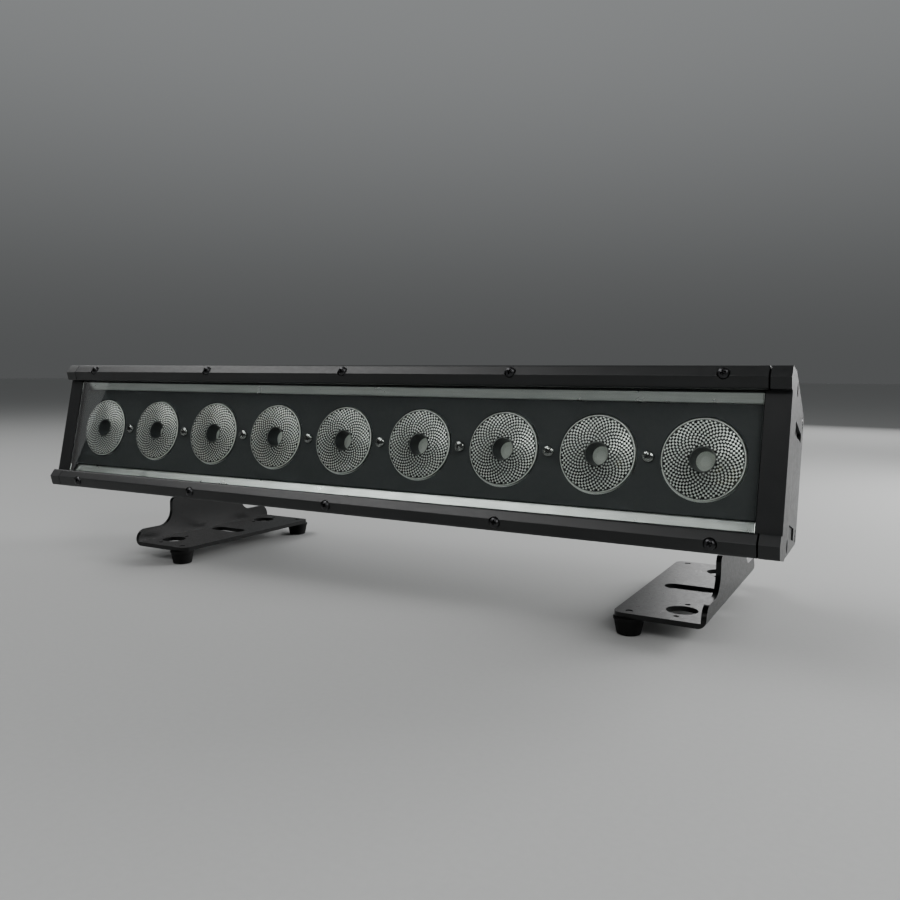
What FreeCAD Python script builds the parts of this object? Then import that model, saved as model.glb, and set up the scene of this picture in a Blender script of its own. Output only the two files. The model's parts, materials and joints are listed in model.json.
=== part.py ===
import FreeCAD, Part
import math
import os

# Half-metre stage batten: nine lenses behind one glass, on two floor brackets.
# Millimetres. X runs along the batten, the face looks towards -Y, Z is up, and
# the origin is on the floor at the middle of the batten's bounding box.
# Head shapes are drawn square to the axes (x along, y into the head, z up, with
# y = 0 just in front of the lenses) and then tilted about the x axis.

V = FreeCAD.Vector
X_AXIS, Y_AXIS, Z_AXIS = V(1, 0, 0), V(0, 1, 0), V(0, 0, 1)

# --- driving dimensions -------------------------------------------------------
TILT = 12.5                 # face tilted up, degrees
LENS_COUNT = 9
LENS_PITCH = 55.5
LENS_R = 21.0
LENS_Y = 1.0                # front of the lens rims
LENS_DEPTH = 24.0
RECESS_R, RECESS_DEPTH = 6.25, 9.0
LENS_BACK_R = 6.6           # foot of the lens's flank
LED_POCKET_R, LED_POCKET_DEPTH = 4.6, 5.0

PLATE_FRONT_Y, PLATE_T = 1.8, 1.5       # plate round the lenses
PLATE_X, PLATE_Z = 249.5, 28.6          # half sizes
GLASS_X, GLASS_Z = 249.8, 37.6          # half sizes
GLASS_FRONT_Y, GLASS_BACK_Y = -4.0, -1.0
STRIP_X = 248.8                         # half length of the reflector strips

RAIL_Z = 46.5               # outer edge of the clamp rails and of the housing lip
RIDGE_Z = 40.3
RAIL_INNER_Z = 34.9
RAIL_END_X = 252.0
RAIL_SCREW_PITCH, RAIL_SCREW_Z = 115.4, 42.1
RAIL_SCREW_COUNT = 5

HOUSING_END_X = 251.0
WALL_BACK_Y = 72.0          # back wall, without the fins
FIN_TIP_Y = 78.0
WEB_Y, WEB_T = 28.6, 5.0    # heat spreader behind the LED board
FIN_PITCH, FIN_T = 7.5, 2.0
GROOVE_COUNT, GROOVE_PITCH, GROOVE_W, GROOVE_DEPTH = 7, 7.5, 3.4, 3.2
CAP_END_X = 262.5
CAP_SCREWS = [(39.0, 15.0), (-39.0, 15.0), (31.3, 68.6), (-31.3, 68.6)]      # (z, y)
CAP_SCREW_SEAT_X = CAP_END_X - 5.0

LUG_X0, LUG_X1, LUG_T = 190.0, 216.8, 4.0
LUG_SCREW_X, LUG_SCREWS_Z = 200.0, (-11.25, 11.25)
EYE_X, EYE_STEM_R = 160.0, 2.9          # safety eye on the back

PIVOT_Y = 106.0             # bracket bolt axis behind the lens plane
BOLT_R = 4.0
RUN_FIT = 0.1               # radial clearance of turning parts on their pin
GAP = 0.3                   # clearance between faces that slide past each other

ARM_X = 221.3               # outer face of each bracket
SHEET = 3.0
FOOT_INNER_X = 168.6
FOOT_FRONT_Y, FOOT_REAR_Y = 25.0, 175.0
FOOT_TOP_Z = -91.7
FLANGE_H = 9.2              # upstand above the foot plate
POST_HALF, POST_Y = 40.0, 100.0
SHOULDER_Z = -61.0          # top of the wide post
NECK_HALF = 23.0            # the arm above the shoulder stays clear of the housing's back corners
RUBBER_X, RUBBER_H, RUBBER_INSET = 177.0, 10.0, 6.0
RUBBER_TOP_R, RUBBER_BOTTOM_R = 9.0, 7.0
RUBBER_POCKET_R, RUBBER_POCKET_DEPTH = 4.2, 4.0
SLOT_X, SLOT_LENGTH, SLOT_R = 195.5, 33.0, 6.5
LOCK_X = 203.0
QUICK_LOCK_SPACING, QUICK_LOCK_R = 106.0, 9.0
RIVET_SPACING, RIVET_R = 27.0, 1.6

PANEL_X, PANEL_Z = 122.0, 27.5      # rear control panel, half sizes
PANEL_Y, PANEL_T = 73.5, 2.0
PANEL_SCREWS = [(sx * x, sz * 24.0) for x in (117.0, 50.0) for sx in (-1, 1) for sz in (-1, 1)]
BUTTON_PITCH, BUTTON_Z, BUTTON_R = 14.0, -15.0, 3.5
BUTTON_STROKE = 1.2
SOCKET_X = {"power_in_socket": -100.0, "power_out_socket": -68.0,
            "data_in_socket": 68.0, "data_out_socket": 100.0}
POWER_BORES = {"island_r": 6.4, "count": 3, "circle_r": 3.6, "pin_r": 1.1}
DATA_BORES = {"island_r": 7.6, "count": 3, "circle_r": 4.6, "pin_r": 1.3}
VENT_X = 40.0
KNOB_X = ARM_X + GAP + 1.6  # inner face of the knob's boss is 1.6 before this
KNOB_T = 13.0
SWITCH_Y, SWITCH_H = 60.0, 2.0          # back face of the control board and its push switches


# --- helpers ------------------------------------------------------------------
def box(x0, x1, y0, y1, z0, z1):
    return Part.makeBox(x1 - x0, y1 - y0, z1 - z0, V(x0, y0, z0))


def rod(radius, length, base, axis):
    return Part.makeCylinder(radius, length, V(*base), axis)


def prism_x(outline, x0, x1):
    """A (z, y) outline pulled along x."""
    points = [V(x0, y, z) for z, y in outline]
    face = Part.Face(Part.makePolygon(points + points[:1]))
    return face.extrude(V(x1 - x0, 0, 0))


def plate_x(outline, x0, x1):
    """A (y, z) outline pulled along x."""
    return prism_x([(z, y) for y, z in outline], x0, x1)


def both_sides(half_outline):
    """Close a (z, y) outline given for z > 0 by its mirror image."""
    return half_outline + [(-z, y) for z, y in reversed(half_outline)]


def fuse(shapes):
    first, rest = shapes[0], shapes[1:]
    return first.multiFuse(rest).removeSplitter() if rest else first


def cut(shape, tools):
    return shape.cut(Part.makeCompound(tools)) if tools else shape


def group(shapes):
    return Part.makeCompound(shapes)


def mirrored(shape):
    return shape.mirror(V(0, 0, 0), X_AXIS)


def rounded_box_xz(half_x, half_z, y0, y1, radius, x=0.0, z=0.0):
    body = box(x - half_x, x + half_x, y0, y1, z - half_z, z + half_z)
    edges = [e for e in body.Edges if abs(e.tangentAt(e.FirstParameter).y) > 0.99]
    return body.makeFillet(radius, edges)


def pan_screw(base, axis, head_r, head_h, shank_r, shank_l):
    """Cross-recess screw: its head stands on base along axis, its shank runs back."""
    base = V(*base)
    crown = 0.45 * head_h
    head = Part.makeCylinder(head_r, head_h - crown, base, axis)
    dome = Part.makeCone(head_r, 0.72 * head_r, crown, base + axis * (head_h - crown), axis)
    shank = Part.makeCylinder(shank_r, shank_l, base - axis * shank_l, axis)
    body = fuse([head, dome, shank])
    wing, half_t, depth = 0.55 * head_r, 0.14 * head_r, 0.6 * head_h
    blade = Part.makeBox(2 * wing, 2 * half_t, depth, V(-wing, -half_t, 0))
    cross = blade.fuse(blade.rotated(V(0, 0, 0), Z_AXIS, 90))
    turn = FreeCAD.Rotation(Z_AXIS, axis)
    cross.Placement = FreeCAD.Placement(base + axis * (head_h - depth), turn)
    return body.cut(cross)


def hex_rod(across_flats, length, base, axis):
    r = across_flats / math.sqrt(3)
    corners = [V(r * math.cos(math.radians(60 * i)), r * math.sin(math.radians(60 * i)), 0)
               for i in range(6)]
    solid = Part.Face(Part.makePolygon(corners + corners[:1])).extrude(V(0, 0, length))
    solid.Placement = FreeCAD.Placement(V(*base), FreeCAD.Rotation(Z_AXIS, axis))
    return solid


def tilted(shape):
    """From the head's own square frame to the stand: tilt the face up."""
    return shape.rotated(V(0, 0, 0), X_AXIS, -TILT)


def floor_shift(shapes):
    """Move that puts the middle of the assembly's underside at the origin."""
    bounds = [shape.BoundBox for shape in shapes]
    y_low, y_high = min(b.YMin for b in bounds), max(b.YMax for b in bounds)
    return V(0, -(y_low + y_high) / 2, -min(b.ZMin for b in bounds))


# --- positions shared by several sub-parts ------------------------------------
def lens_centres():
    return [(i - (LENS_COUNT - 1) / 2) * LENS_PITCH for i in range(LENS_COUNT)]


def between_lenses():
    xs = lens_centres()
    return [(a + b) / 2 for a, b in zip(xs, xs[1:])]


def rail_screw_xs():
    return [(i - (RAIL_SCREW_COUNT - 1) / 2) * RAIL_SCREW_PITCH for i in range(RAIL_SCREW_COUNT)]


def wall_z(y):
    """Half-height of the tapered housing at depth y."""
    return 44.0 - 9.0 * (y - 8.0) / 65.0


# --- housing ------------------------------------------------------------------
def housing_extrusion():
    outline = both_sides([(34.6, 1.0), (38.2, 1.0), (38.2, -2.0), (RAIL_Z - 0.4, -2.0),
                          (RAIL_Z - 0.4, 6.0), (wall_z(9.0), 9.0), (wall_z(WALL_BACK_Y - 3), WALL_BACK_Y - 3),
                          (wall_z(WALL_BACK_Y) - 3, WALL_BACK_Y)])
    body = prism_x(outline, -HOUSING_END_X, HOUSING_END_X)
    chamber = box(-HOUSING_END_X, HOUSING_END_X, -5, WEB_Y, -34.6, 34.6)
    bay_front, bay_back = WEB_Y + WEB_T, WALL_BACK_Y - 6.0
    bay = prism_x(both_sides([(wall_z(bay_front) - 6, bay_front), (wall_z(bay_back) - 6, bay_back)]),
                  -HOUSING_END_X, HOUSING_END_X)
    body = cut(body, [chamber, bay])
    grooves = []
    for i in range(GROOVE_COUNT):
        y = 14.0 + GROOVE_PITCH * i
        z = wall_z(y) - GROOVE_DEPTH
        for side in (1, -1):
            low, high = sorted((side * z, side * (z + 6)))
            grooves.append(box(-HOUSING_END_X, HOUSING_END_X, y, y + GROOVE_W, low, high))
    keep_ports = [rod(3.2, 2 * HOUSING_END_X, (-HOUSING_END_X, y, z), X_AXIS) for z, y in CAP_SCREWS]
    body = fuse([cut(body, grooves)] + keep_ports)
    fins = [box(-HOUSING_END_X, HOUSING_END_X, WALL_BACK_Y - 0.5, FIN_TIP_Y, z - FIN_T / 2, z + FIN_T / 2)
            for z in [FIN_PITCH * k for k in range(-4, 5)]]
    body = fuse([body] + fins)
    tools = [box(-PANEL_X - 3, PANEL_X + 3, WALL_BACK_Y, FIN_TIP_Y + 1, -28.8, 28.8),
             box(-112, 112, WALL_BACK_Y - 8, FIN_TIP_Y, -21, 21)]
    for z, y in CAP_SCREWS:
        tools.append(rod(1.7, 2 * HOUSING_END_X, (-HOUSING_END_X, y, z), X_AXIS))
    for x in rail_screw_xs():
        for z in (RAIL_SCREW_Z, -RAIL_SCREW_Z):
            tools.append(rod(1.8, 9.5, (x, -2.5, z), Y_AXIS))
    for x in between_lenses():
        tools.append(rod(1.4, WEB_T, (x, WEB_Y - 0.5, 0), Y_AXIS))
    for x, z in PANEL_SCREWS:
        tools.append(rod(1.3, 5.0, (x, WALL_BACK_Y - 5, z), Y_AXIS))
    for side in (-1, 1):
        for z in LUG_SCREWS_Z:
            tools.append(rod(2.1, 14.0, (side * LUG_SCREW_X, WALL_BACK_Y - 5, z), Y_AXIS))
    tools.append(rod(EYE_STEM_R + 0.1, 13.0, (EYE_X, WALL_BACK_Y - 5, 0), Y_AXIS))
    return cut(body, tools)


def clamp_rail(side):
    outline = [(RAIL_INNER_Z, -4.0), (38.2, -4.0), (38.2, -2.0), (RAIL_Z, -2.0), (RAIL_Z, -7.4),
               (RAIL_Z - 0.8, -8.3), (RIDGE_Z, -10.9), (RAIL_INNER_Z + 0.6, -8.6), (RAIL_INNER_Z, -8.0)]
    body = prism_x([(side * z, y) for z, y in outline], -RAIL_END_X, RAIL_END_X)
    tools = []
    for x in rail_screw_xs():
        tools.append(rod(3.4, 4.0, (x, -13.0, side * RAIL_SCREW_Z), Y_AXIS))
        tools.append(rod(2.1, 12.0, (x, -12.0, side * RAIL_SCREW_Z), Y_AXIS))
    return cut(body, tools)


def rail_screws(side):
    return group([pan_screw((x, -9.0, side * RAIL_SCREW_Z), -Y_AXIS, 3.0, 2.3, 1.75, 15.0)
                  for x in rail_screw_xs()])


def front_glass():
    return rounded_box_xz(GLASS_X, GLASS_Z, GLASS_FRONT_Y, GLASS_BACK_Y, 3.0)


def glass_gasket():
    ring = rounded_box_xz(GLASS_X, GLASS_Z, GLASS_BACK_Y, LENS_Y, 3.0)
    return ring.cut(box(-GLASS_X + 0.8, GLASS_X - 0.8, -2, 2, -34.8, 34.8))


# --- optics -------------------------------------------------------------------
def lens_plate():
    plate = box(-PLATE_X, PLATE_X, PLATE_FRONT_Y, PLATE_FRONT_Y + PLATE_T, -PLATE_Z, PLATE_Z)
    holes = [rod(LENS_R + 1.1, 5.0, (x, 0, 0), Y_AXIS) for x in lens_centres()]
    holes += [rod(1.7, 5.0, (x, 0, 0), Y_AXIS) for x in between_lenses()]
    return cut(plate, holes)


def reflector_strip(side):
    outline = [(28.9, 3.2), (28.9, 4.2), (34.3, 1.8), (34.3, 0.8)]
    return prism_x([(side * z, y) for z, y in outline], -STRIP_X, STRIP_X)


def lens(x):
    """Collimator lens: rim, curved flank, LED pocket behind and a centre recess in front."""
    front, back = LENS_Y, LENS_Y + LENS_DEPTH
    rim_back, belly = V(LENS_R - 1.2, front + 2.0, 0), V(15.6, front + 11.5, 0)
    flank = Part.Arc(rim_back, belly, V(LENS_BACK_R, back, 0)).toShape()
    corners = [V(LENS_BACK_R, back, 0), V(LED_POCKET_R, back, 0),
               V(LED_POCKET_R, back - LED_POCKET_DEPTH + 0.8, 0), V(0, back - LED_POCKET_DEPTH, 0),
               V(0, front + RECESS_DEPTH, 0), V(RECESS_R - 1.0, front + RECESS_DEPTH, 0),
               V(RECESS_R, front, 0), V(LENS_R, front, 0), V(LENS_R, front + 2.0, 0),
               rim_back]
    wire = Part.Wire([flank] + [Part.makeLine(a, b) for a, b in zip(corners, corners[1:])])
    solid = Part.Face(wire).revolve(V(0, 0, 0), Y_AXIS, 360)
    return solid.translated(V(x, 0, 0))


def lens_holders():
    """A seat ring round the foot of each lens, standing on the LED board."""
    base, top = WEB_Y - 1.6, LENS_Y + LENS_DEPTH - 5.0
    rings = []
    for x in lens_centres():
        ring = rod(12.6, base - top, (x, top, 0), Y_AXIS)
        bore = Part.makeCone(11.6, 7.6, base - top + 0.02, V(x, top - 0.01, 0), Y_AXIS)
        rings.append(ring.cut(bore))
    return group(rings)


def lens_plate_standoffs():
    start = PLATE_FRONT_Y + PLATE_T
    posts = [hex_rod(5.5, WEB_Y - start, (x, start, 0), Y_AXIS) for x in between_lenses()]
    bores = [rod(1.25, 9.0, (x, start - 0.3, 0), Y_AXIS) for x in between_lenses()]
    return group([post.cut(bore) for post, bore in zip(posts, bores)])


def lens_plate_screws():
    return group([pan_screw((x, PLATE_FRONT_Y, 0), -Y_AXIS, 3.2, 2.2, 1.24, 8.0) for x in between_lenses()])


def led_board():
    board = box(-246, 246, WEB_Y - 1.6, WEB_Y, -27, 27)
    return cut(board, [rod(3.6, 4.0, (x, WEB_Y - 3, 0), Y_AXIS) for x in between_lenses()])


def led_packages():
    seat = WEB_Y - 1.6
    leds = []
    for x in lens_centres():
        base = box(x - 2.9, x + 2.9, seat - 1.1, seat, -2.9, 2.9)
        dome = rod(2.4, 1.3, (x, seat - 2.4, 0), Y_AXIS)
        leds.append(fuse([base, dome]))
    return group(leds)


# --- ends ---------------------------------------------------------------------
def cap_outline():
    return both_sides([(RAIL_Z, -4.3), (RAIL_Z, 6.0), (wall_z(9.0) + 0.8, 9.5), (wall_z(75.0) + 0.8, 75.0),
                       (wall_z(75.0) - 1.2, FIN_TIP_Y)])


def corner_blocks(start):
    """The two blocks that carry on the clamp rails' profile past their ends."""
    profile = [(RAIL_INNER_Z, -4.3), (RAIL_Z, -4.3), (RAIL_Z, -7.0), (RAIL_Z - 0.8, -7.9),
               (RIDGE_Z, -10.5), (RAIL_INNER_Z + 0.6, -8.2), (RAIL_INNER_Z, -7.6)]
    return [prism_x([(side * z, y) for z, y in profile], start, CAP_END_X) for side in (1, -1)]


def cap_recesses():
    """Sunk panel, grip slot and foot pocket in the outer face."""
    panel = box(CAP_END_X - 2.2, CAP_END_X + 1, 16, 64, -24, 19)
    slot = box(CAP_END_X - 4.5, CAP_END_X + 1, 18, 62, 19, 24)
    pocket = box(CAP_END_X - 3.0, CAP_END_X + 1, 20, 54, -34.5, -28)
    return [panel, slot, pocket]


def end_cap(side):
    """Cast end cap, drawn at the right end and mirrored for the left."""
    seat, block_start = HOUSING_END_X + 1.0, RAIL_END_X + 0.8
    draft_start_y, draft_angle, draft_depth = 12.0, 3.0, 3.5
    tongue = box(GLASS_X + 0.4, seat + 1, -4.3, -1.3, -34.5, 34.5)
    seam_gaps = [box(seat - 1, block_start, -6, -2, low, high)
                 for low, high in ((RAIL_INNER_Z, 50), (-50, -RAIL_INNER_Z))]
    body = cut(prism_x(cap_outline(), seat, CAP_END_X), seam_gaps)
    body = fuse([body, tongue] + corner_blocks(block_start))
    draft = prism_x([(-60, draft_start_y), (60, draft_start_y), (60, 90), (-60, 90)],
                    CAP_END_X - draft_depth, CAP_END_X + 20)
    draft = draft.rotated(V(CAP_END_X, draft_start_y, 0), Z_AXIS, draft_angle)
    body = body.cut(draft.translated(V(draft_depth, 0, 0)))
    tools = cap_recesses()
    for z, y in CAP_SCREWS:
        tools.append(rod(2.1, 20, (GLASS_X, y, z), X_AXIS))
        tools.append(rod(3.6, 20, (CAP_SCREW_SEAT_X, y, z), X_AXIS))
    body = cut(body, tools)
    return body if side > 0 else mirrored(body)


def end_cap_gasket():
    """Flat seal that follows the housing's end face."""
    outer = prism_x(both_sides([(38.0, 2.0), (42.0, 9.0), (wall_z(68) - 0.8, 68.0), (28.0, 71.0)]),
                    HOUSING_END_X, HOUSING_END_X + 1)
    inner = prism_x(both_sides([(34.4, 6.0), (34.4, 60.0), (28.0, 65.0)]),
                    HOUSING_END_X - 1, HOUSING_END_X + 2)
    ring = cut(outer, [inner] + [rod(2.0, 5, (HOUSING_END_X - 2, y, z), X_AXIS) for z, y in CAP_SCREWS])
    return group([ring, mirrored(ring)])


def end_cap_screws():
    right = [pan_screw((CAP_SCREW_SEAT_X, y, z), X_AXIS, 3.0, 2.2, 1.65, 15.0) for z, y in CAP_SCREWS]
    return group(right + [mirrored(s) for s in right])


# --- electronics --------------------------------------------------------------
def power_supply():
    """Boxed supply with a terminal strip, on the back of the heat spreader."""
    front = WEB_Y + WEB_T
    case = box(-242, -128, front, front + 29, -25, 25)
    vents = [box(-225 + 9 * i, -221 + 9 * i, front + 27, front + 30, -18, 18) for i in range(9)]
    terminals = box(-128, -118, front + 4, front + 14, -20, 20)
    slots = [box(-124, -117, front + 10, front + 15, z - 2, z + 2) for z in (-15, -7.5, 0, 7.5, 15)]
    return fuse([cut(case, vents), cut(terminals, slots)])


def driver_board():
    front = WEB_Y + WEB_T
    board = box(126, 242, front + 4, front + 5.6, -26, 26)
    coils = [rod(6.5, 9, (142 + 17 * i, front + 5.6, 12), Y_AXIS) for i in range(6)]
    chips = [box(137 + 17 * i, 147 + 17 * i, front + 5.6, front + 8, -14, -6) for i in range(6)]
    posts = [rod(3, 4, (x, front, z), Y_AXIS) for x in (131, 237) for z in (-21, 21)]
    return fuse([board] + coils + chips + posts)


def control_board():
    front = SWITCH_Y - 1.6
    board = box(-47, 47, front, SWITCH_Y, -20, 20)
    chip = box(-8, 8, front - 1.8, front, -8, 8)
    plugs = [box(x, x + 12, front - 7, front, -16, -10) for x in (-42, 30)]
    switches = [rod(2.6, SWITCH_H, (x, SWITCH_Y, BUTTON_Z), Y_AXIS) for x in button_xs()]
    return fuse([board, chip] + plugs + switches)


def wiring_loom():
    """Straight leads from the supply to the driver board, behind the heat spreader."""
    y = WEB_Y + WEB_T + 12
    return group([rod(1.6, 235, (-112, y, z), X_AXIS) for z in (-6.0, 0.0, 6.0)])


def button_xs():
    return [(i - 1.5) * BUTTON_PITCH for i in range(4)]


# --- rear control panel -------------------------------------------------------
def rear_panel():
    plate = rounded_box_xz(PANEL_X, PANEL_Z, PANEL_Y, PANEL_Y + PANEL_T, 4.0)
    tools = [box(-20, 20, 70, 80, -3, 15), rod(5.9, 10, (VENT_X, 70, 0), Y_AXIS)]
    tools += [rod(BUTTON_R + 0.4, 10, (x, 70, BUTTON_Z), Y_AXIS) for x in button_xs()]
    tools += [rod(12.0, 10, (x, 70, 0), Y_AXIS) for x in SOCKET_X.values()]
    tools += [rod(1.6, 10, (x, 70, z), Y_AXIS) for x, z in PANEL_SCREWS]
    return cut(plate, tools)


def rear_panel_gasket():
    ring = rounded_box_xz(PANEL_X, PANEL_Z, WALL_BACK_Y, PANEL_Y, 4.0)
    tools = [box(-112, 112, 70, 76, -21.2, 21.2)]
    tools += [rod(1.7, 10, (x, 68, z), Y_AXIS) for x, z in PANEL_SCREWS]
    return cut(ring, tools)


def rear_panel_screws():
    seat = PANEL_Y + PANEL_T
    return group([pan_screw((x, seat, z), Y_AXIS, 2.6, 1.8, 1.25, 8.0) for x, z in PANEL_SCREWS])


def display_window():
    lip = rounded_box_xz(22.0, 11.0, PANEL_Y + PANEL_T, PANEL_Y + PANEL_T + 0.8, 1.5, z=6.0)
    plug = box(-19.9, 19.9, PANEL_Y, PANEL_Y + PANEL_T, -2.9, 14.9)
    return fuse([lip, plug])


def display_module():
    frame = box(-18, 18, SWITCH_Y, 71.5, -2, 14)
    return frame.cut(box(-16.5, 16.5, 71.0, 72, -0.5, 12.5))


def button(x):
    """Cap with a retaining flange behind the panel and a stem to its switch."""
    face = PANEL_Y + PANEL_T
    cap = rod(BUTTON_R, 4.6, (x, face - 2.6, BUTTON_Z), Y_AXIS)
    cap = cap.makeFillet(0.6, [e for e in cap.Edges if min(v.Y for v in e.Vertexes) > face + 1.9])
    flange = rod(BUTTON_R + 1.2, 1.0, (x, face - 3.4, BUTTON_Z), Y_AXIS)
    stem_end = SWITCH_Y + SWITCH_H + BUTTON_STROKE + GAP
    stem = rod(1.6, face - 3.4 - stem_end, (x, stem_end, BUTTON_Z), Y_AXIS)
    return fuse([cap, flange, stem])


def panel_socket(x, bores):
    """Round panel socket: square flange outside, body behind, mating well from outside."""
    face = PANEL_Y + PANEL_T
    flange = rounded_box_xz(13.0, 15.5, face, face + 2.5, 3.0, x=x)
    body = rod(11.8, 24.0, (x, face - 24.0, 0), Y_AXIS)
    collar = rod(12.6, 1.6, (x, face + 2.5, 0), Y_AXIS)
    socket = fuse([flange, body, collar])
    well = rod(9.3, 7.0, (x, face + 1.1, 0), Y_AXIS)
    tools = [well.cut(rod(bores["island_r"], 2.0, (x, face + 1.0, 0), Y_AXIS))]
    for k in range(bores["count"]):
        a = math.radians(90 + 360.0 * k / bores["count"])
        spot = (x + bores["circle_r"] * math.cos(a), face - 9.0, bores["circle_r"] * math.sin(a))
        tools.append(rod(bores["pin_r"], 14.0, spot, Y_AXIS))
    return cut(socket, tools)


def vent_plug():
    face = PANEL_Y + PANEL_T
    body = fuse([hex_rod(15.0, 3.2, (VENT_X, face, 0), Y_AXIS),
                 rod(5.8, 9.0, (VENT_X, face - 9.0, 0), Y_AXIS),
                 rod(5.4, 1.4, (VENT_X, face + 3.2, 0), Y_AXIS)])
    angles = [math.radians(60 * k) for k in range(6)]
    return cut(body, [rod(0.8, 2.0, (VENT_X + 3 * math.cos(a), face + 3.4, 3 * math.sin(a)), Y_AXIS)
                      for a in angles])


def safety_eye():
    ring = Part.makeTorus(9.5, 2.5, V(EYE_X, FIN_TIP_Y + 14.0, 0), Z_AXIS)
    collar = rod(7.0, 2.5, (EYE_X, FIN_TIP_Y, 0), Y_AXIS)
    stem = rod(EYE_STEM_R, 14.0, (EYE_X, FIN_TIP_Y - 10.0, 0), Y_AXIS)
    return fuse([ring, collar, stem])


# --- pivots -------------------------------------------------------------------
def pivot_lug(side):
    base = box(LUG_X0, LUG_X1, FIN_TIP_Y, FIN_TIP_Y + LUG_T, -19, 19)
    cheek = box(LUG_X1 - LUG_T, LUG_X1, FIN_TIP_Y, PIVOT_Y, -17, 17)
    eye = rod(17.0, LUG_T, (LUG_X1 - LUG_T, PIVOT_Y, 0), X_AXIS)
    body = fuse([base, cheek, eye])
    tools = [rod(BOLT_R + 0.01, 10, (LUG_X1 - 7, PIVOT_Y, 0), X_AXIS)]
    tools += [rod(2.6, 10, (LUG_SCREW_X, FIN_TIP_Y - 2, z), Y_AXIS) for z in LUG_SCREWS_Z]
    body = cut(body, tools)
    return body if side > 0 else mirrored(body)


def pivot_lug_screws():
    seat = FIN_TIP_Y + LUG_T
    right = [pan_screw((LUG_SCREW_X, seat, z), Y_AXIS, 4.4, 3.0, 2.05, 14.0) for z in LUG_SCREWS_Z]
    return group(right + [mirrored(s) for s in right])


def pivot_bolts():
    seat, head_h = LUG_X1 - LUG_T, 5.3
    head = hex_rod(13.0, head_h, (seat - head_h, PIVOT_Y, 0), X_AXIS)
    shank = rod(BOLT_R, KNOB_X + KNOB_T - seat + 0.5, (seat - 0.5, PIVOT_Y, 0), X_AXIS)
    bolt = fuse([head, shank])
    return group([bolt, mirrored(bolt)])


def friction_washers():
    inner_face = ARM_X - SHEET
    washer = rod(11.5, inner_face - GAP - LUG_X1, (LUG_X1, PIVOT_Y, 0), X_AXIS)
    washer = washer.cut(rod(BOLT_R, 5, (LUG_X1 - 1, PIVOT_Y, 0), X_AXIS))
    return group([washer, mirrored(washer)])


def knob(side):
    """Five-lobe hand knob with a steel-faced boss, on the bolt's outer end."""
    boss = rod(8.5, 4.6, (KNOB_X - 1.6, PIVOT_Y, 0), X_AXIS)
    start = KNOB_X + 2.0
    core = rod(15.5, KNOB_T, (start, PIVOT_Y, 0), X_AXIS)
    lobes = []
    for k in range(5):
        a = math.radians(90 + 72 * k)
        lobes.append(rod(5.2, KNOB_T, (start, PIVOT_Y + 14.6 * math.cos(a), 14.6 * math.sin(a)), X_AXIS))
    body = fuse([boss, core] + lobes)
    rim = [e for e in body.Edges if min(v.X for v in e.Vertexes) > start + KNOB_T - 0.1]
    body = body.makeFillet(1.8, rim)
    body = body.cut(rod(BOLT_R + RUN_FIT, KNOB_T + 3.2, (KNOB_X - 3, PIVOT_Y, 0), X_AXIS))
    return body if side > 0 else mirrored(body)


# --- floor brackets (drawn upright, not tilted with the head) ------------------
def pivot_world():
    a = math.radians(TILT)
    return PIVOT_Y * math.cos(a), -PIVOT_Y * math.sin(a)


def tangent_point(point, centre, radius, turn):
    """Where a line from point touches the circle; turn is +1 or -1."""
    dy, dz = centre[0] - point[0], centre[1] - point[1]
    distance = math.hypot(dy, dz)
    heading = math.atan2(dz, dy) + turn * math.asin(radius / distance)
    reach = math.sqrt(distance ** 2 - radius ** 2)
    return point[0] + reach * math.cos(heading), point[1] + reach * math.sin(heading)


def arm(inner, front, rear, bottom):
    """Wide post, a shoulder, and a narrow neck that ends in the pivot eye."""
    py, pz = pivot_world()
    eye_r, neck_r, corner_r = 19.0, 5.0, 4.0
    post = box(inner, ARM_X, front, rear, bottom, SHOULDER_Z)
    corners = [e for e in post.Edges if abs(e.tangentAt(e.FirstParameter).x) > 0.99
               and e.CenterOfMass.z > SHOULDER_Z - 1]
    post = post.makeFillet(corner_r, corners)
    low = SHOULDER_Z - 1
    near = tangent_point((py - NECK_HALF, SHOULDER_Z), (py, pz), eye_r, 1)
    far = tangent_point((py + NECK_HALF, SHOULDER_Z), (py, pz), eye_r, -1)
    neck = plate_x([(py - NECK_HALF, low), (py - NECK_HALF, SHOULDER_Z), near, (py, pz), far,
                    (py + NECK_HALF, SHOULDER_Z), (py + NECK_HALF, low)], inner, ARM_X)
    corners = [web_fillet(inner, py + out * NECK_HALF, out, SHOULDER_Z, neck_r) for out in (-1, 1)]
    return fuse([post, neck, rod(eye_r, SHEET, (inner, py, pz), X_AXIS)] + corners)


def web_fillet(inner, edge_y, out, z, radius):
    """Concave corner between an upright edge and the level edge at z that runs out from it."""
    y0, y1 = sorted((edge_y - out * 0.5, edge_y + out * radius))
    corner = box(inner, ARM_X, y0, y1, z - 0.5, z + radius)
    centre = (inner - 1, edge_y + out * radius, z + radius)
    return corner.cut(rod(radius, SHEET + 2, centre, X_AXIS))


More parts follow.
